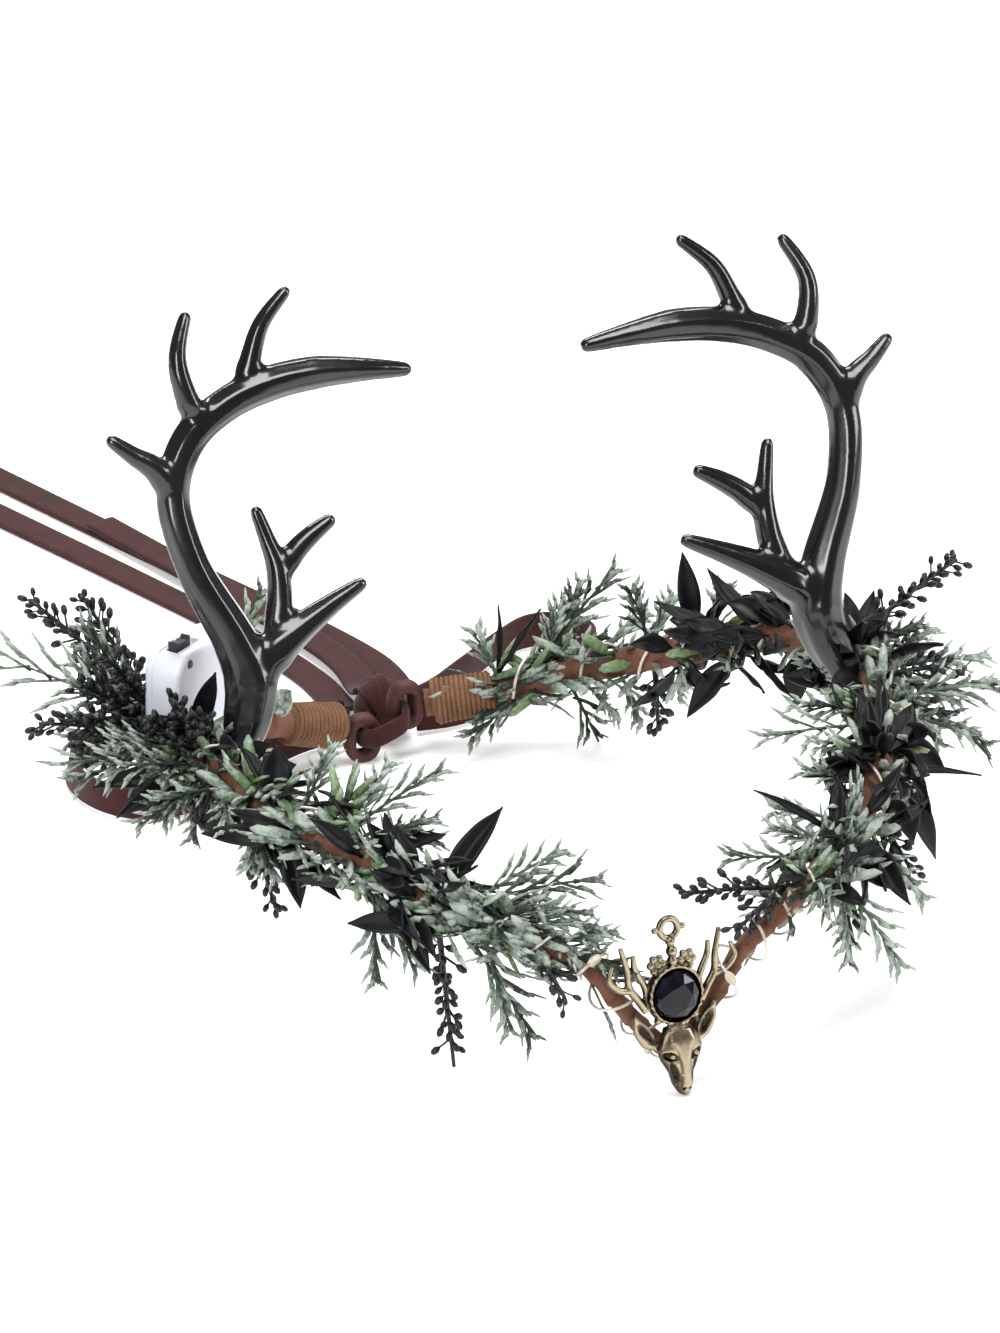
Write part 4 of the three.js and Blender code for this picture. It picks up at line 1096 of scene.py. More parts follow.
# More shoots on a node: angle round the ring, reach right, back and up, and a leaf's width
MORE_SHOOTS = {
    "leaf_left_low": ((-102, 7, -8, 11, 8), (-106, 11, -5, 7, 9), (-90, -9, -10, 11, 7), (-97, 1, -12, 9, 7),
                      (-90, 4.4, -4, 21, 7), (-84, -28, -8, 12, 7)),
    "leaf_right_base": ((96, -9, -9, 11, 8), (91, 3, -9, 14, 8), (101, -13, -6, 5, 9)),
    "leaf_right_low": ((115, -9, -8, 9, 9), (113, 12, -8, -9, 9), (118, 9, -10, 6, 9)),
    "leaf_right_in": ((128, -9, -6, 12, 8), (132, 8, -8, -4, 8)),
    "leaf_front_right_low": ((143, 10, -8, -7, 7), (150, 9, -8, -5, 6), (153, -8, -6, 6, 6)),
    "leaf_front_left_down": ((-141, 9, -9, -3, 8),),
    "leaf_back_low": ((28, 13, -2, 2, 6), (50, -13, -1, 4, 7)),
    "berry_left_out": ((-92, -8, -9, 15), (-90, -13, -8, 13), (-94, -4, -10, 14), (-93, -10, -12, 9),
                       (-88, -27, -9, 4), (-80, -18, -6, 24), (-80, -24, -6, 18), (-80, -26, -8, 11),
                       (-84, -28, -8, 6)),
    "berry_left_back": ((-72, -20, -1, 19), (-70, -13, 2, 16)),
    "berry_right_out": ((99, 15, -8, 5),),
    "spray_back_up": ((45, -3, 3, 12), (45, 4, 3, 9), (20, -4, 2, 11), (36, 9, 3, 8), (56, 2, 2, 9)),
    "spray_back_down": ((22, -9, -3, -8), (38, 7, 3, -13), (48, 3, 3, -10)),
    "spray_left_out": ((-84, -24, -2, 10), (-72, -17, 4, 22), (-88, -20, -10, 9)),
    "spray_left_fan": ((-94, -14, -12, 4), (-98, -24, -6, 6), (-90, -30, -8, 5), (-86, -26, -10, 0),
                       (-92, -20, -12, 9)),
    "spray_left_low": ((-104, -8, -15, -1), (-98, -10, -14, -8)),
    "spray_left_behind": ((-58, -9, 9, 3), (-52, -6, 11, -5), (-46, -4, 13, 2), (-40, 2, 12, -6)),
    "spray_right_up": ((88, 12, -6, 8), (86, -10, -8, 4)),
    "spray_right_out": ((108, 17, -6, -4), (105, 24, 0, 2), (96, 24, -3, 2)),
    "spray_right_in": ((119, -15, -4, 6), (130, -13, 1, 6)),
    "spray_front_right_in": ((138, -15, 2, 6),),
    "spray_front_right_down": ((138, 12, -7, -13),),
    "spray_front_left_up": ((-117, 9, 4, 13),),
    "spray_front_left_end": ((-161, 9, -3, 4), (-163, 10, -6, -1)),
}
FULL_BUNCHES = ("spray_left_out", "spray_left_fan", "spray_left_low", "spray_back_up", "spray_back_down")
# Fans of leaflets on a spray: angle round the ring, reach right, back and up, and count
FANS = {
    "spray_left_fan": ((-94, -14, -12, -1, 24),),
    "spray_left_low": ((-101, 7, -14, -9, 26), (-107, 5, -12, 2, 14)),
    "spray_front_left_up": ((-122, 12, 2, 12, 14),),
    "spray_front_left_down": ((-128, 4, -12, -4, 16), (-136, 6, -12, -8, 12)),
    "spray_right_in": ((108, -12, -6, 4, 9), (122, -10, -6, 3, 8)),
}
# Short twigs that cover the band beside a spray, at its own angle: the usual count and the others
COVER_COUNT = 34
COVER = {"spray_left_behind": 10, "spray_back_down": 18, "spray_front_left_in": 44}
# More of them on a spray: angle round the ring and count
MORE_COVER = {
    "spray_back_up": ((44, 26), (60, 26)), "spray_right_up": ((76, 26),), "spray_right_in": ((126, 26),),
    "spray_front_right_in": ((137, 20), (153, 22)), "spray_front_left_down": ((-138, 20),),
    "spray_front_left_end": ((-161, 20), (-152, 24)), "spray_left_fan": ((-92, 26),),
    "spray_left_low": ((-100, 24),), "spray_front_left_up": ((-117, 24),), "spray_right_out": ((106, 24),),
    "spray_left_behind": ((-62, 26), (-50, 22)),
}
# Small leaves along the band beside a node's own: the usual count and the others
SMALL_LEAF_COUNT = 9
SMALL_LEAVES = {"leaf_pale": 0, "leaf_back_thin": 0, "leaf_right_base": 20, "leaf_left_low": 14,
                "leaf_right_low": 18, "leaf_front_left_round": 10, "leaf_right_in": 14, "leaf_back_top": 14,
                "leaf_back_hang": 12}
FACING = Vector((-0.25, -0.6, 0.75))
ROOT_LIFT = 0.45
FAN_TILT = 0.5
FLOOR_CLEARANCE = 1.5


def bunches(kind):
    """The nodes of one kind, each with its angle and its shoots."""
    return [(node, *row) for node, row in GARLAND.items() if node.startswith(kind)]


def bunch_root(angle, reaches, full):
    """Where a bunch sits on the band, on the side that its shoots grow towards, and the way along it."""
    root = band_point(angle)
    along = (band_point(angle + 1) - root).normalized()
    way = sum((Vector(reach[:3]) for reach in reaches), Vector())
    way = (way - along * way.dot(along)).normalized()
    return root + way * (band_radius(angle, full) + ROOT_LIFT * MM), along


def shoot_curve(root, angle, reach):
    """A stem from the bunch's root to the shoot's tip, bowed a little towards the way it faces."""
    tip = band_point(angle) + Vector(reach[:3]) * MM
    bend = root.lerp(tip, 0.5) + FACING * (0.1 * (tip - root).length)
    return bowed_route(root, bend, tip)


def single_shoot(angle, reach, full):
    """The curve of a shoot that has a root of its own."""
    return shoot_curve(bunch_root(angle, [reach], full)[0], angle, reach)


def shoot_facing(index):
    """The shoots of one bunch are turned apart, so that their blades cross."""
    return FACING + Vector((FAN_TILT * index, 0, -FAN_TILT * index))


def band_spot(angle, turn, full, lift):
    """A point over the band's surface, the way out of it there and the way along it."""
    centre = band_point(angle)
    along = (band_point(angle + 1) - centre).normalized()
    side = along.cross(UP).normalized()
    out = side * math.cos(turn) + along.cross(side) * -math.sin(turn)
    return centre + out * (band_radius(angle, full) + lift), out, along


def dressed_turn(rng):
    """A turn round the band, more often on its upper side, where the garland is fullest."""
    return rng.uniform(-0.3, 3.5) if rng.random() < 0.75 else rng.uniform(3.5, 6.0)


# Leaves: shares of a leaf's width and length, ranges that each leaf draws from, and millimetres
LEAF = {"half_width": 0.38, "stalk": 0.05, "foot": 0.5, "tip": 0.1, "fold": (0.25, 0.6), "curl": (-1.5, 2.0),
        "wave": 0.2}
SMALL_LEAF = {"angle": (-7, 7), "lift": 0.3, "along": (0.6, 1.0), "out": (0.3, 0.8), "length": (11, 19),
              "bow": 1.5, "width": (4.6, 8.2), "lean": 0.5}


def grow_leaf(bm, curve, width, facing, rng, thickness):
    """One lance leaf along a curve, folded at its midrib and curled towards the tip."""
    half = LEAF["half_width"] * width
    fold, curl = rng.uniform(*LEAF["fold"]), rng.uniform(*LEAF["curl"]) * MM

    def half_width_at(t):
        share = max((t - LEAF["stalk"]) / (1 - LEAF["stalk"]), 0.0)
        wide = half * math.sin(math.pi * share ** 0.78) ** 0.9
        return max(wide, lerp(LEAF["foot"], LEAF["tip"], t) * MM)

    def lift_at(t, x):
        wave = LEAF["wave"] * MM * math.sin(15 * t) * x
        return fold * abs(x) * half_width_at(t) + curl * max(t - 0.5, 0) ** 2 * 6 + wave

    strip(bm, curve, 6, 16, half_width_at, lift_at, lambda t: facing, thickness)


def grow_small_leaf(bm, angle, radius, rng, thickness):
    """One small leaf that lies along the band near an angle."""
    place = angle + rng.uniform(*SMALL_LEAF["angle"])
    start, out, along = band_spot(place, dressed_turn(rng), radius, SMALL_LEAF["lift"] * MM)
    way = along * rng.choice((-1, 1)) * rng.uniform(*SMALL_LEAF["along"])
    way = way + out * rng.uniform(*SMALL_LEAF["out"])
    tip = start + way.normalized() * (rng.uniform(*SMALL_LEAF["length"]) * MM)
    curve = bowed_route(start, start.lerp(tip, 0.5) + out * (SMALL_LEAF["bow"] * MM), tip)
    width = rng.uniform(*SMALL_LEAF["width"]) * MM
    grow_leaf(bm, curve, width, out + FACING * SMALL_LEAF["lean"], rng, thickness)


def pale_finish(colours):
    """A leaf thick with frost over grey-green."""
    finish = Finish("leaf_pale", Roughness=0.8, Specular_IOR_Level=0.2)
    specks = finish.noise(700.0, 5.0, roughness=0.7)
    green, frost = tuple(colours.green), tuple(colours.frost)
    finish.colour(specks, (0.38, shade(green, 1.2)), (0.55, frost), (0.7, shade(frost, 1.5)))
    finish.bump(specks, 0.3, 0.2 * MM)
    return finish.material


def leaf_finish(leaf):
    """Black plastic leaf, half glossy in patches."""
    finish = Finish("leaf_black", Specular_IOR_Level=0.22)
    patches = finish.noise(180.0, 4.0)
    finish.colour(patches, (0.3, shade(leaf, 0.55)), (0.55, leaf), (0.8, shade(leaf, 1.9)))
    finish.link(finish.math("MULTIPLY_ADD", patches, 0.3, 0.32), "Roughness")
    finish.bump(finish.noise(900.0), 0.2, 0.2 * MM)
    return finish.material


def build_leaves(sizes, colours):
    """Black lance leaves, with small ones that lie along the band between them."""
    black = leaf_finish(tuple(colours.leaf))
    rng = random.Random(5)
    radius, thickness = sizes.band_diameter / 2, sizes.leaf_thickness
    for node, angle, reaches in bunches("leaf"):
        root, _ = bunch_root(angle, reaches, radius)
        bm = bmesh.new()
        for index, reach in enumerate(reaches):
            grow_leaf(bm, shoot_curve(root, angle, reach), reach[3] * MM, shoot_facing(index), rng, thickness)
        for place, *reach in MORE_SHOOTS.get(node, ()):
            grow_leaf(bm, single_shoot(place, reach, radius), reach[3] * MM, FACING, rng, thickness)
        for _ in range(SMALL_LEAVES.get(node, SMALL_LEAF_COUNT)):
            grow_small_leaf(bm, angle, radius, rng, thickness)
        bmesh.ops.recalc_face_normals(bm, faces=bm.faces)
        pale = node == "leaf_pale"
        show(bm, f"{node}_blades", [node],
             pale_finish(colours) if pale else black)


# Small shapes that are copied many times
class Shape:
    """A small closed shape as arrays, ready to be copied many times."""

    def __init__(self, bm):
        bmesh.ops.recalc_face_normals(bm, faces=bm.faces)
        bm.verts.index_update()
        self.points = np.array([vert.co[:] for vert in bm.verts])
        self.corners = np.array([vert.index for face in bm.faces for vert in face.verts])
        self.counts = np.array([len(face.verts) for face in bm.faces])
        self.along = np.clip(self.points[:, 1], 0.0, 1.0)
        bm.free()


class Joined:
    """Many copies of small shapes gathered into one mesh, with a tone for each copy, whose low end is painted
    shade on the sprays.
    """

    def __init__(self):
        self.parts = []
        self.size = 0

    def add(self, shape, matrix, shade_and_tone, along=None):
        turn = np.array(matrix)
        points = shape.points @ turn[:3, :3].T + turn[:3, 3]
        spread = shape.along if along is None else np.full(len(points), along)
        shades_and_tones = np.full(len(points), shade_and_tone)
        self.parts.append((points, shape.corners + self.size, shape.counts, shades_and_tones, spread))
        self.size += len(points)

    def mesh(self, name):
        points, corners, counts, shade_and_tone, along = (np.concatenate(column) for column in zip(*self.parts))
        mesh = bpy.data.meshes.new(name)
        mesh.vertices.add(len(points))
        mesh.vertices.foreach_set("co", points.ravel())
        mesh.loops.add(len(corners))
        mesh.loops.foreach_set("vertex_index", corners)
        mesh.polygons.add(len(counts))
        mesh.polygons.foreach_set("loop_start", np.cumsum(counts) - counts)
        for key, values in (("shade_and_tone", shade_and_tone), ("along", along)):
            mesh.attributes.new(key, "FLOAT", "POINT").data.foreach_set("value", values)
        mesh.update(calc_edges=True)
        mesh.validate()
        return mesh


# Rows of place across in millimetres, place along the twig and half width
TWIG_STALK = ((0.0, 0.0, 0.42), (0.3, 0.3, 0.33), (0.75, 0.58, 0.3), (1.1, 0.8, 0.31), (1.32, 0.9, 0.52),
              (1.42, 0.96, 0.42), (1.45, 1.0, 0.14))
TWIG_PRONGS = (
    ((1.05, 0.77, 0.22), (1.95, 0.86, 0.32), (2.25, 0.92, 0.12)),
    ((1.15, 0.81, 0.2), (0.62, 0.91, 0.32), (0.52, 0.97, 0.12)),
)
LEAFLET = ((0.0, 0.0, 0.22), (0.0, 0.2, 0.32), (0.1, 0.38, 0.85), (0.15, 0.46, 0.6), (0.2, 0.62, 1.0),
           (0.25, 0.7, 0.7), (0.3, 0.86, 0.8), (0.35, 1.0, 0.15))
TWIG_THICKNESS = 0.36
BUD = {"stalks": (1.6, 2.8, 4.4), "radii": (0.95, 1.6, 0.95), "seat": 1.2, "rise": 0.3, "longest": 7.0}


def blade(bm, rows, hand, bend):
    """A flat strip along rows, raised at its edges."""
    last = len(rows) - 1
    for vert in bmesh.ops.create_grid(bm, x_segments=1, y_segments=last, size=1.0)["verts"]:
        across, along, half = rows[round((vert.co.y + 1) / 2 * last)]
        lift = bend * along * along + 0.15 * half * vert.co.x
        vert.co = Vector((hand * across + vert.co.x * half, along, lift))


def twig_shape(strips, hand, bend):
    """A small flat twig: length 1 along y, millimetres across, curved to one hand."""
    bm = bmesh.new()
    for rows in strips:
        blade(bm, rows, hand, bend)
    bmesh.ops.recalc_face_normals(bm, faces=bm.faces)
    bmesh.ops.solidify(bm, geom=list(bm.faces), thickness=TWIG_THICKNESS)
    return Shape(bm)


def bud_shape(stalk):
    """An oval bud on a stalk, in millimetres along y."""
    bm = bmesh.new()
    round_tube(bm, lambda t: Vector((0, stalk * t, BUD["rise"] * t * t)), 4, 2, lambda t: 0.34 - 0.06 * t)
    close_up(bm)
    ball(bm, Vector((0, stalk + BUD["seat"], BUD["rise"])), BUD["radii"], None, 7, 5)
    return Shape(bm)


def stem_shape(curve, thick, thin, facing):
    """A tapered stem along a curve."""
    bm = bmesh.new()
    round_tube(bm, curve, 6, 12, lambda t: lerp(thick, thin, t) * MM, up=facing)
    close_up(bm)
    return Shape(bm)


def frame_matrix(place, along, facing, length, size):
    """Y along the shoot, Z towards its face."""
    side = along.cross(facing).normalized()
    out = side.cross(along).normalized()
    turn = Matrix((side, along, out)).transposed().to_4x4()
    return Matrix.Translation(place) @ turn @ Matrix.Diagonal((size, length, size, 1.0))


def clears_floor(matrix, reach=1.0):
    """Whether the far end of a shape that is placed by the matrix stays over the floor."""
    return (matrix @ Vector((0, reach, 0))).z > FLOOR_CLEARANCE * MM


# Sprays: ranges that each twig, leaflet or cover draws from; lengths in millimetres or as shares of the stem
# The fronds' tones start low: their darkest copies are painted shade, as if in shadow near the band.
FROND = {"pairs": 3, "last_pair": 0.8, "fork": 0.95, "shade_and_tone": (0.0, 0.55), "spread": (0.55, 0.85),
         "lean": (-0.25, 0.25), "reach": (0.4, 0.56), "least": 6, "size": (0.62, 0.92),
         "change": (-0.15, 0.4), "palest": 0.78}
FROND_STEM = {"foot": 0.5, "tip": 0.3, "along": 0.3}
FAN = {"root": (0.0, 0.55), "turn": (-1.4, 1.4), "lean": (-0.1, 0.3), "reach": (0.5, 0.8), "least": 9,
       "size": (0.75, 1.1), "shade_and_tone": (0.7, 1.0)}
BESIDE = {"turn": (0.25, 0.7), "share": (0.55, 0.85), "step": (2, 7), "lowest_tip": 6, "bow": 0.12}
# The cover twigs run dark: painted shade over the band.
TWIG_COVER = {"angle": (-9, 9), "along": (0.5, 1.0), "out": (0.2, 0.7), "length": (6.5, 12), "lift": -0.2,
              "shade_and_tone": (0.0, 0.5), "size": (0.9, 1.25)}
BROAD_COVER = {"shade_and_tone": (0.5, 0.95), "size": (1.0, 1.5)}


def grow_frond(joined, curve, facing, kit, rng, start):
    """A stem with curved twigs out of both sides in turn, and a fork of them at its end."""
    length = route_length(curve, 24)
    # Each frond's tone; the low ones are painted shade.
    shade_and_tone = rng.uniform(*FROND["shade_and_tone"])
    stem = stem_shape(curve, FROND_STEM["foot"], FROND_STEM["tip"], facing)
    joined.add(stem, Matrix.Identity(4), shade_and_tone, FROND_STEM["along"])
    count = 2 * FROND["pairs"]
    rows = [(lerp(start, FROND["last_pair"], i / (count - 1)), 1 if i % 2 else -1) for i in range(count)]
    for t, hand in [*rows, (FROND["fork"], 1), (FROND["fork"], -1)]:
        along = heading(curve, t)
        side = along.cross(facing).normalized() * hand
        spread = rng.uniform(*FROND["spread"]) * (1 - 0.45 * t)
        way = along * math.cos(spread) + side * math.sin(spread) + facing * rng.uniform(*FROND["lean"])
        reach = max(length * rng.uniform(*FROND["reach"]) * (1 - 0.42 * t), FROND["least"] * MM)
        matrix = frame_matrix(curve(t), way.normalized(), facing, reach, MM * rng.uniform(*FROND["size"]))
        if clears_floor(matrix):
            paler = min(max(shade_and_tone + rng.uniform(*FROND["change"]), 0.0), FROND["palest"])
            joined.add(kit[hand], matrix, paler)


def grow_fan(joined, curve, facing, leaflet, rng, count):
    """Broad notched leaflets that spread from the foot of a shoot."""
    length = route_length(curve, 24)
    for _ in range(count):
        t = rng.uniform(*FAN["root"])
        spin = Matrix.Rotation(rng.uniform(*FAN["turn"]), 3, facing)
        way = (spin @ heading(curve, t) + facing * rng.uniform(*FAN["lean"])).normalized()
        reach = max(length * rng.uniform(*FAN["reach"]), FAN["least"] * MM)
        matrix = frame_matrix(curve(t), way, facing, reach, MM * rng.uniform(*FAN["size"]))
        joined.add(leaflet, matrix, rng.uniform(*FAN["shade_and_tone"]))


def grow_beside(joined, root, tangent, reach, facing, kit, rng, away):
    """A lesser frond beside a main one, unless its tip would come near the floor."""
    turn = Matrix.Rotation(away * rng.uniform(*BESIDE["turn"]), 3, facing)
    way = turn @ (reach * rng.uniform(*BESIDE["share"]))
    start = root + tangent * (away * rng.uniform(*BESIDE["step"]) * MM)
    tip = start + way
    if tip.z >= BESIDE["lowest_tip"] * MM:
        bend = start.lerp(tip, 0.5) + FACING * (BESIDE["bow"] * way.length)
        grow_frond(joined, bowed_route(start, bend, tip), facing, kit, rng, 0.3)


def cover_band(joined, angle, count, kit, leaflet, radius, rng):
    """Short twigs and leaflets that lie over the band on both sides of an angle."""
    for i in range(count):
        place = angle + rng.uniform(*TWIG_COVER["angle"])
        start, out, along = band_spot(place, dressed_turn(rng), radius, TWIG_COVER["lift"] * MM)
        way = along * rng.choice((-1, 1)) * rng.uniform(*TWIG_COVER["along"])
        way = (way + out * rng.uniform(*TWIG_COVER["out"])).normalized()
        broad = i % 5 < 2
        looks = BROAD_COVER if broad else TWIG_COVER
        # A dark tone is painted shade over the band; the broad leaflets keep their own brighter green.
        shade_and_tone, size = rng.uniform(*looks["shade_and_tone"]), MM * rng.uniform(*looks["size"])
        length = rng.uniform(*TWIG_COVER["length"]) * MM
        matrix = frame_matrix(start, way, out + FACING * 0.3, length, size)
        if clears_floor(matrix):
            joined.add(leaflet if broad else kit[rng.choice((-1, 1))], matrix, shade_and_tone)


def spray_finish(colours):
    """Frosted grey-green, with painted shade on the low-toned twigs: pale dust gathers on the paler twigs and
    towards their tips.
    """
    green, frost = tuple(colours.green), tuple(colours.frost)
    finish = Finish("spray_green", Roughness=0.72, Specular_IOR_Level=0.25, Subsurface_Weight=0.04)
    shade_and_tone, along = finish.attribute("shade_and_tone"), finish.attribute("along")
    dust = finish.noise(900.0, 5.0, roughness=0.65)
    # Low tones are painted shade: those twigs are darkened as if shadowed; the high tones are the leaflets'
    # own bright green.
    base = finish.ramp(shade_and_tone, (0.0, shade(green, 0.22)), (0.3, shade(green, 0.6)), (0.55, shade(green, 1.1)),
                       (0.75, shade(green, 1.5)), (0.85, srgb(88, 112, 74)), (1.0, srgb(124, 148, 100)))
    leaning = finish.ramp(shade_and_tone, (0.0, (0, 0, 0)), (0.74, (0.55, 0.55, 0.55)), (0.8, (0.15, 0.15, 0.15)))
    frosted = finish.math("ADD", leaning, finish.math("MULTIPLY_ADD", along, 0.6, -1.08))
    dusted = finish.math("MULTIPLY_ADD", dust, 1.3, frosted)
    weight = finish.ramp(dusted, (0.05, (0, 0, 0)), (0.55, (0.9, 0.9, 0.9)))
    finish.link(finish.mix(weight, base, frost), "Base Color")
    finish.bump(dust, 0.35, 0.25 * MM)
    return finish.material


def build_sprays(sizes, colours):
    """Frosted grey-green fronds in bunches round the band, with short twigs that cover it between them."""
    material = spray_finish(colours)
    kit = {hand: twig_shape((TWIG_STALK, *TWIG_PRONGS), -hand, 0.9 * hand) for hand in (1, -1)}
    leaflet = twig_shape((LEAFLET,), 1, 1.2)
    level = FACING.normalized()
    rng = random.Random(23)
    radius = sizes.band_diameter / 2
    for node, angle, reaches in bunches("spray"):
        root, tangent = bunch_root(angle, reaches, radius)
        joined = Joined()
        for index, reach in enumerate(reaches):
            curve = shoot_curve(root, angle, reach)
            facing = shoot_facing(index).normalized()
            grow_frond(joined, curve, facing, kit, rng, 0.25)
            for extra in range(sizes.fill if node in FULL_BUNCHES else 1):
                away = 1 if extra % 2 else -1
                grow_beside(joined, root, tangent, curve(1.0) - root, facing, kit, rng, away)
        for place, *reach in MORE_SHOOTS.get(node, ()):
            grow_frond(joined, single_shoot(place, reach, radius), level, kit, rng, 0.25)
        for place, *reach, count in FANS.get(node, ()):
            grow_fan(joined, single_shoot(place, reach, radius), level, leaflet, rng, count)
        for place, count in ((angle, COVER.get(node, COVER_COUNT)), *MORE_COVER.get(node, ())):
            cover_band(joined, place, count, kit, leaflet, radius, rng)
        show(joined.mesh(f"{node}_fronds"), f"{node}_fronds", [node], material)


# Bud sprigs
SPRIG = {"foot": 0.8, "tip": 0.42, "along": 0.1, "start": 0.16, "end": 0.98, "least": 12, "pitch": 1.0,
         "twist": 2.4, "stray": (-0.8, 0.8), "forward": (0.5, 1.2), "size": (0.85, 1.1)}


def grow_sprig(joined, curve, facing, buds, rng):
    """A stem with stalked buds that go round it up to its tip."""
    stem = stem_shape(curve, SPRIG["foot"], SPRIG["tip"], facing)
    joined.add(stem, Matrix.Identity(4), rng.random(), SPRIG["along"])
    count = max(SPRIG["least"], int(route_length(curve, 24) / (SPRIG["pitch"] * MM)))
    for i in range(count):
        t = lerp(SPRIG["start"], SPRIG["end"], i / (count - 1))
        along = heading(curve, t)
        spin = Matrix.Rotation(i * SPRIG["twist"] + rng.uniform(*SPRIG["stray"]), 3, along)
        around = spin @ along.cross(facing).normalized()
        way = (along * rng.uniform(*SPRIG["forward"]) + around * (1.0 - 0.4 * t)).normalized()
        size = MM * rng.uniform(*SPRIG["size"]) * (1 - 0.2 * t)
        matrix = frame_matrix(curve(t), way, facing, size, size)
        if clears_floor(matrix, BUD["longest"]):
            joined.add(rng.choice(buds), matrix, rng.random())


def build_berries(sizes, colours):
    """Black sprigs with stalked oval buds."""
    berry = tuple(colours.berry)
    finish = Finish("berry_black", Roughness=0.5, Specular_IOR_Level=0.45)
    finish.colour(finish.noise(500.0), (0.3, shade(berry, 0.5)), (0.6, berry), (0.85, shade(berry, 2.2)))
    finish.bump(finish.noise(1600.0), 0.25, 0.15 * MM)
    buds = [bud_shape(stalk) for stalk in BUD["stalks"]]
    rng = random.Random(41)
    radius = sizes.band_diameter / 2
    for node, angle, reaches in bunches("berry"):
        root, _ = bunch_root(angle, reaches, radius)
        curves = [shoot_curve(root, angle, reach) for reach in reaches]
        curves += [single_shoot(place, reach, radius) for place, *reach in MORE_SHOOTS.get(node, ())]
        joined = Joined()
        for index, curve in enumerate(curves):
            grow_sprig(joined, curve, shoot_facing(index % 3).normalized(), buds, rng)
        show(joined.mesh(f"{node}_buds"), f"{node}_buds", [node], finish.material)


# Stage
AZIMUTH = math.radians(-19.234)
ELEVATION = math.radians(22.784)
LENS_MM = 825.5
DISTANCE = 7.0
AIM = (-5.89, 0.0, 62.93)
VIEW_DEPTH = 60.0
FLOOR = {"half_size": 12.0, "drop": 0.2, "glow": 0.3}
WORLD_STRENGTH = 0.2
# Soft lights: name, place, width, height and power
LIGHTS = (
    ("key", (-1.3, -0.9, 1.1), 0.35, 1.3, 22.0), ("fill", (1.5, -0.5, 0.9), 0.35, 1.3, 16.0),
    ("back", (0.3, 1.5, 1.3), 1.2, 0.4, 16.0), ("top", (0.0, -0.1, 1.9), 1.0, 1.0, 34.0),
)


def build_floor():
    """A wide pale floor just under the crown."""
    bm = bmesh.new()
    below = Matrix.Translation((0, 0, -FLOOR["drop"] * MM))
    bmesh.ops.create_grid(bm, x_segments=1, y_segments=1, size=FLOOR["half_size"], matrix=below)
    floor = bpy.data.objects.new("floor", to_mesh(bm, "floor"))
    bpy.context.scene.collection.objects.link(floor)
    pale = Finish("floor_pale", Roughness=0.9, Specular_IOR_Level=0.1)
    pale.colour(pale.noise(2.0), (0.3, (0.9, 0.9, 0.9)), (0.7, (0.94, 0.94, 0.94)))
    pale.shader.inputs["Emission Color"].default_value = (1, 1, 1, 1)
    pale.shader.inputs["Emission Strength"].default_value = FLOOR["glow"]
    floor.data.materials.append(pale.material)


def build_stage():
    """A pale floor, soft studio light and the camera."""
    build_floor()
    scene = bpy.context.scene
    aim = at(*AIM)
    level = math.cos(ELEVATION)
    out = Vector((math.sin(AZIMUTH) * level, -math.cos(AZIMUTH) * level, math.sin(ELEVATION)))
    data = bpy.data.cameras.new("camera")
    data.lens = LENS_MM
    data.clip_end = VIEW_DEPTH
    camera = bpy.data.objects.new("camera", data)
    camera.location = aim + out * DISTANCE
    camera.rotation_euler = (-out).to_track_quat("-Z", "Y").to_euler()
    scene.collection.objects.link(camera)
    scene.camera = camera

    for name, place, wide, tall, energy in LIGHTS:
        light = bpy.data.lights.new(name, "AREA")
        light.shape = "RECTANGLE"
        light.size = wide
        light.size_y = tall
        light.energy = energy
        lamp = bpy.data.objects.new(name, light)
        lamp.location = place
        lamp.rotation_euler = (aim - Vector(place)).to_track_quat("-Z", "Y").to_euler()
        scene.collection.objects.link(lamp)
    world = bpy.data.worlds.new("studio")
    world.use_nodes = True
    sky = world.node_tree.nodes["Background"]
    sky.inputs["Color"].default_value = (1, 1, 1, 1)
    sky.inputs["Strength"].default_value = WORLD_STRENGTH
    scene.world = world
    scene.view_settings.view_transform = "Standard"


# Operators
class CROWN_OT_stage(bpy.types.Operator):
    """Adds the floor, the light and the camera"""
    bl_idname = "crown.stage"
    bl_label = "Stage"

    def execute(self, context):
        build_stage()
        return {"FINISHED"}


class CROWN_OT_tie(bpy.types.Operator):
    """Lays out the suede bow, its tails and its knot"""
    bl_idname = "crown.tie"
    bl_label = "Ribbon tie"

    def execute(self, context):
        build_tie(context.scene.crown_sizes, context.scene.crown_colours)
        return {"FINISHED"}


class CROWN_OT_band(bpy.types.Operator):
    """Winds the suede lace round the ring"""
    bl_idname = "crown.band"
    bl_label = "Band"

    def execute(self, context):
        build_band(context.scene.crown_sizes, context.scene.crown_colours)
        return {"FINISHED"}


class CROWN_OT_light_wire(bpy.types.Operator):
    """Winds the light wire and its lamps"""
    bl_idname = "crown.light_wire"
    bl_label = "Light wire"

    def execute(self, context):
        build_light_wire(context.scene.crown_sizes)
        return {"FINISHED"}


class CROWN_OT_eyelets(bpy.types.Operator):
    """Makes the leather loops"""
    bl_idname = "crown.eyelets"
    bl_label = "Eyelets"

    def execute(self, context):
        build_eyelets(context.scene.crown_colours)
        return {"FINISHED"}


class CROWN_OT_whippings(bpy.types.Operator):
    """Winds the twine round the eyelets"""
    bl_idname = "crown.whippings"
    bl_label = "Whippings"

    def execute(self, context):
        build_whippings(context.scene.crown_colours)
        return {"FINISHED"}


class CROWN_OT_antlers(bpy.types.Operator):
    """Moulds the two antlers"""
    bl_idname = "crown.antlers"
    bl_label = "Antlers"

    def execute(self, context):
        build_antlers(context.scene.crown_colours)
        return {"FINISHED"}


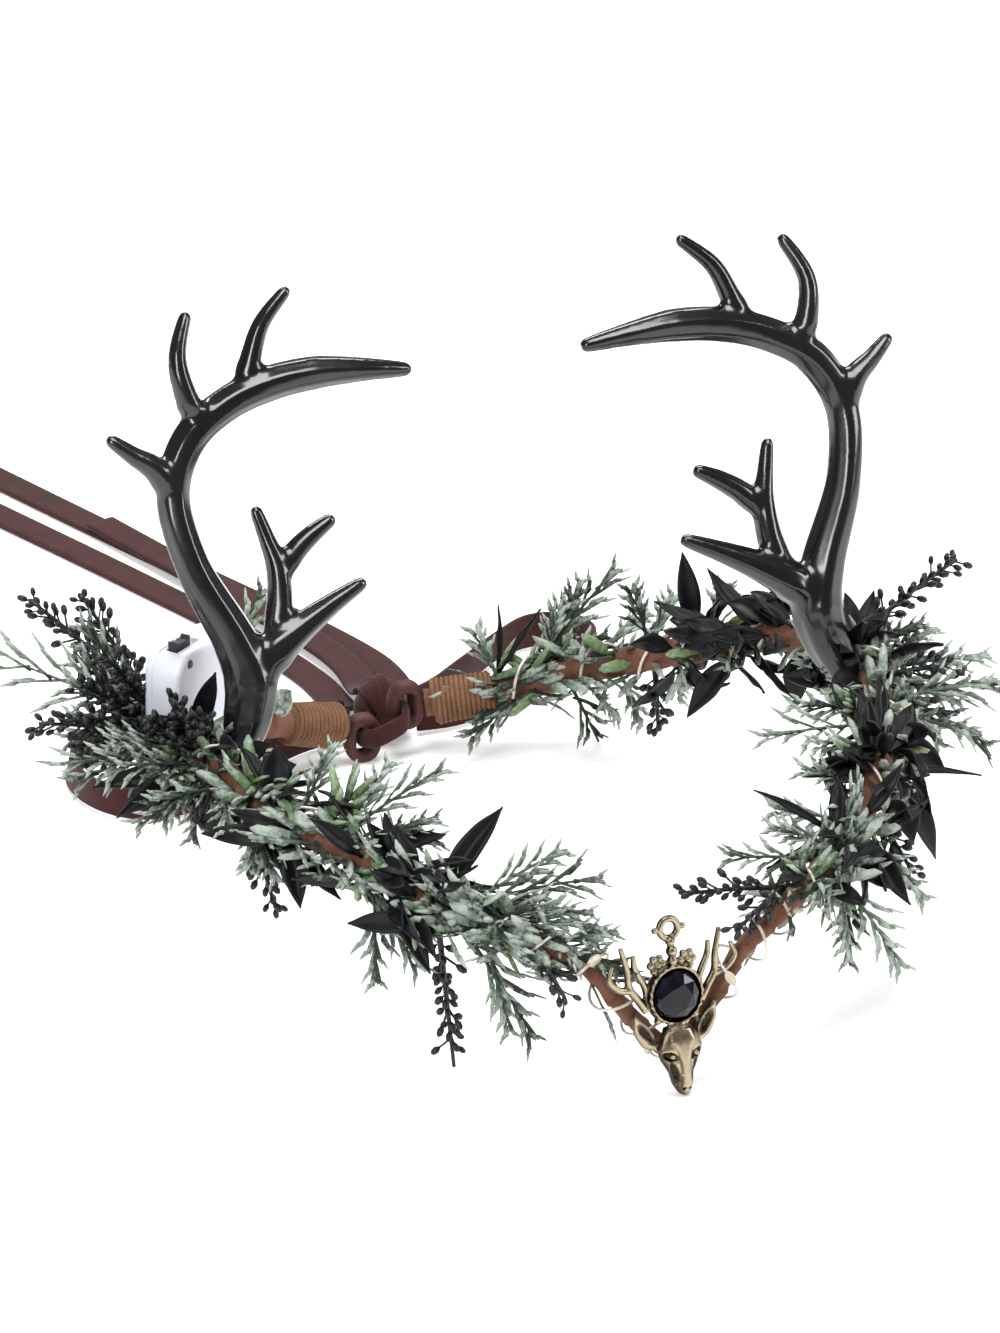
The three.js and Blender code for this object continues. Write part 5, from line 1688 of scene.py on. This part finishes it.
class CROWN_OT_charm(bpy.types.Operator):
    """Casts the stag charm and sets its stone"""
    bl_idname = "crown.charm"
    bl_label = "Charm"

    def execute(self, context):
        build_charm(context.scene.crown_colours)
        return {"FINISHED"}


class CROWN_OT_light_box(bpy.types.Operator):
    """Makes the battery box and its switch"""
    bl_idname = "crown.light_box"
    bl_label = "Light box"

    def execute(self, context):
        build_light_box(context.scene.crown_colours)
        return {"FINISHED"}


class CROWN_OT_leaves(bpy.types.Operator):
    """Grows the black leaves"""
    bl_idname = "crown.leaves"
    bl_label = "Leaves"

    def execute(self, context):
        build_leaves(context.scene.crown_sizes, context.scene.crown_colours)
        return {"FINISHED"}


class CROWN_OT_sprays(bpy.types.Operator):
    """Grows the frosted sprays"""
    bl_idname = "crown.sprays"
    bl_label = "Sprays"

    def execute(self, context):
        build_sprays(context.scene.crown_sizes, context.scene.crown_colours)
        return {"FINISHED"}


class CROWN_OT_berries(bpy.types.Operator):
    """Grows the black bud sprigs"""
    bl_idname = "crown.berries"
    bl_label = "Bud sprigs"

    def execute(self, context):
        build_berries(context.scene.crown_sizes, context.scene.crown_colours)
        return {"FINISHED"}


OPERATORS = (
    CROWN_OT_stage, CROWN_OT_tie, CROWN_OT_band, CROWN_OT_light_wire, CROWN_OT_eyelets, CROWN_OT_whippings,
    CROWN_OT_antlers, CROWN_OT_charm, CROWN_OT_light_box, CROWN_OT_leaves, CROWN_OT_sprays, CROWN_OT_berries,
)


class CROWN_PT_panel(bpy.types.Panel):
    """Lists the crown's pieces and settings"""
    bl_idname = "CROWN_PT_panel"
    bl_label = "Antler Crown"
    bl_space_type = "VIEW_3D"
    bl_region_type = "UI"
    bl_category = "Crown"

    def draw(self, context):
        for group in (context.scene.crown_sizes, context.scene.crown_colours):
            for key in group.__annotations__:
                self.layout.prop(group, key)
        for operator in OPERATORS:
            self.layout.operator(operator.bl_idname)


CLASSES = (CrownSizes, CrownColours, *OPERATORS, CROWN_PT_panel)


def register():
    for item in CLASSES:
        bpy.utils.register_class(item)
    bpy.types.Scene.crown_sizes = PointerProperty(type=CrownSizes)
    bpy.types.Scene.crown_colours = PointerProperty(type=CrownColours)


def unregister():
    del bpy.types.Scene.crown_sizes
    del bpy.types.Scene.crown_colours
    for item in reversed(CLASSES):
        bpy.utils.unregister_class(item)


def main():
    register()
    bpy.ops.crown.stage()
    bpy.ops.crown.tie()
    bpy.ops.crown.band()
    bpy.ops.crown.light_wire()
    bpy.ops.crown.eyelets()
    bpy.ops.crown.whippings()
    bpy.ops.crown.antlers()
    bpy.ops.crown.charm()
    bpy.ops.crown.light_box()
    bpy.ops.crown.leaves()
    bpy.ops.crown.sprays()
    bpy.ops.crown.berries()


if __name__ == "__main__":
    main()
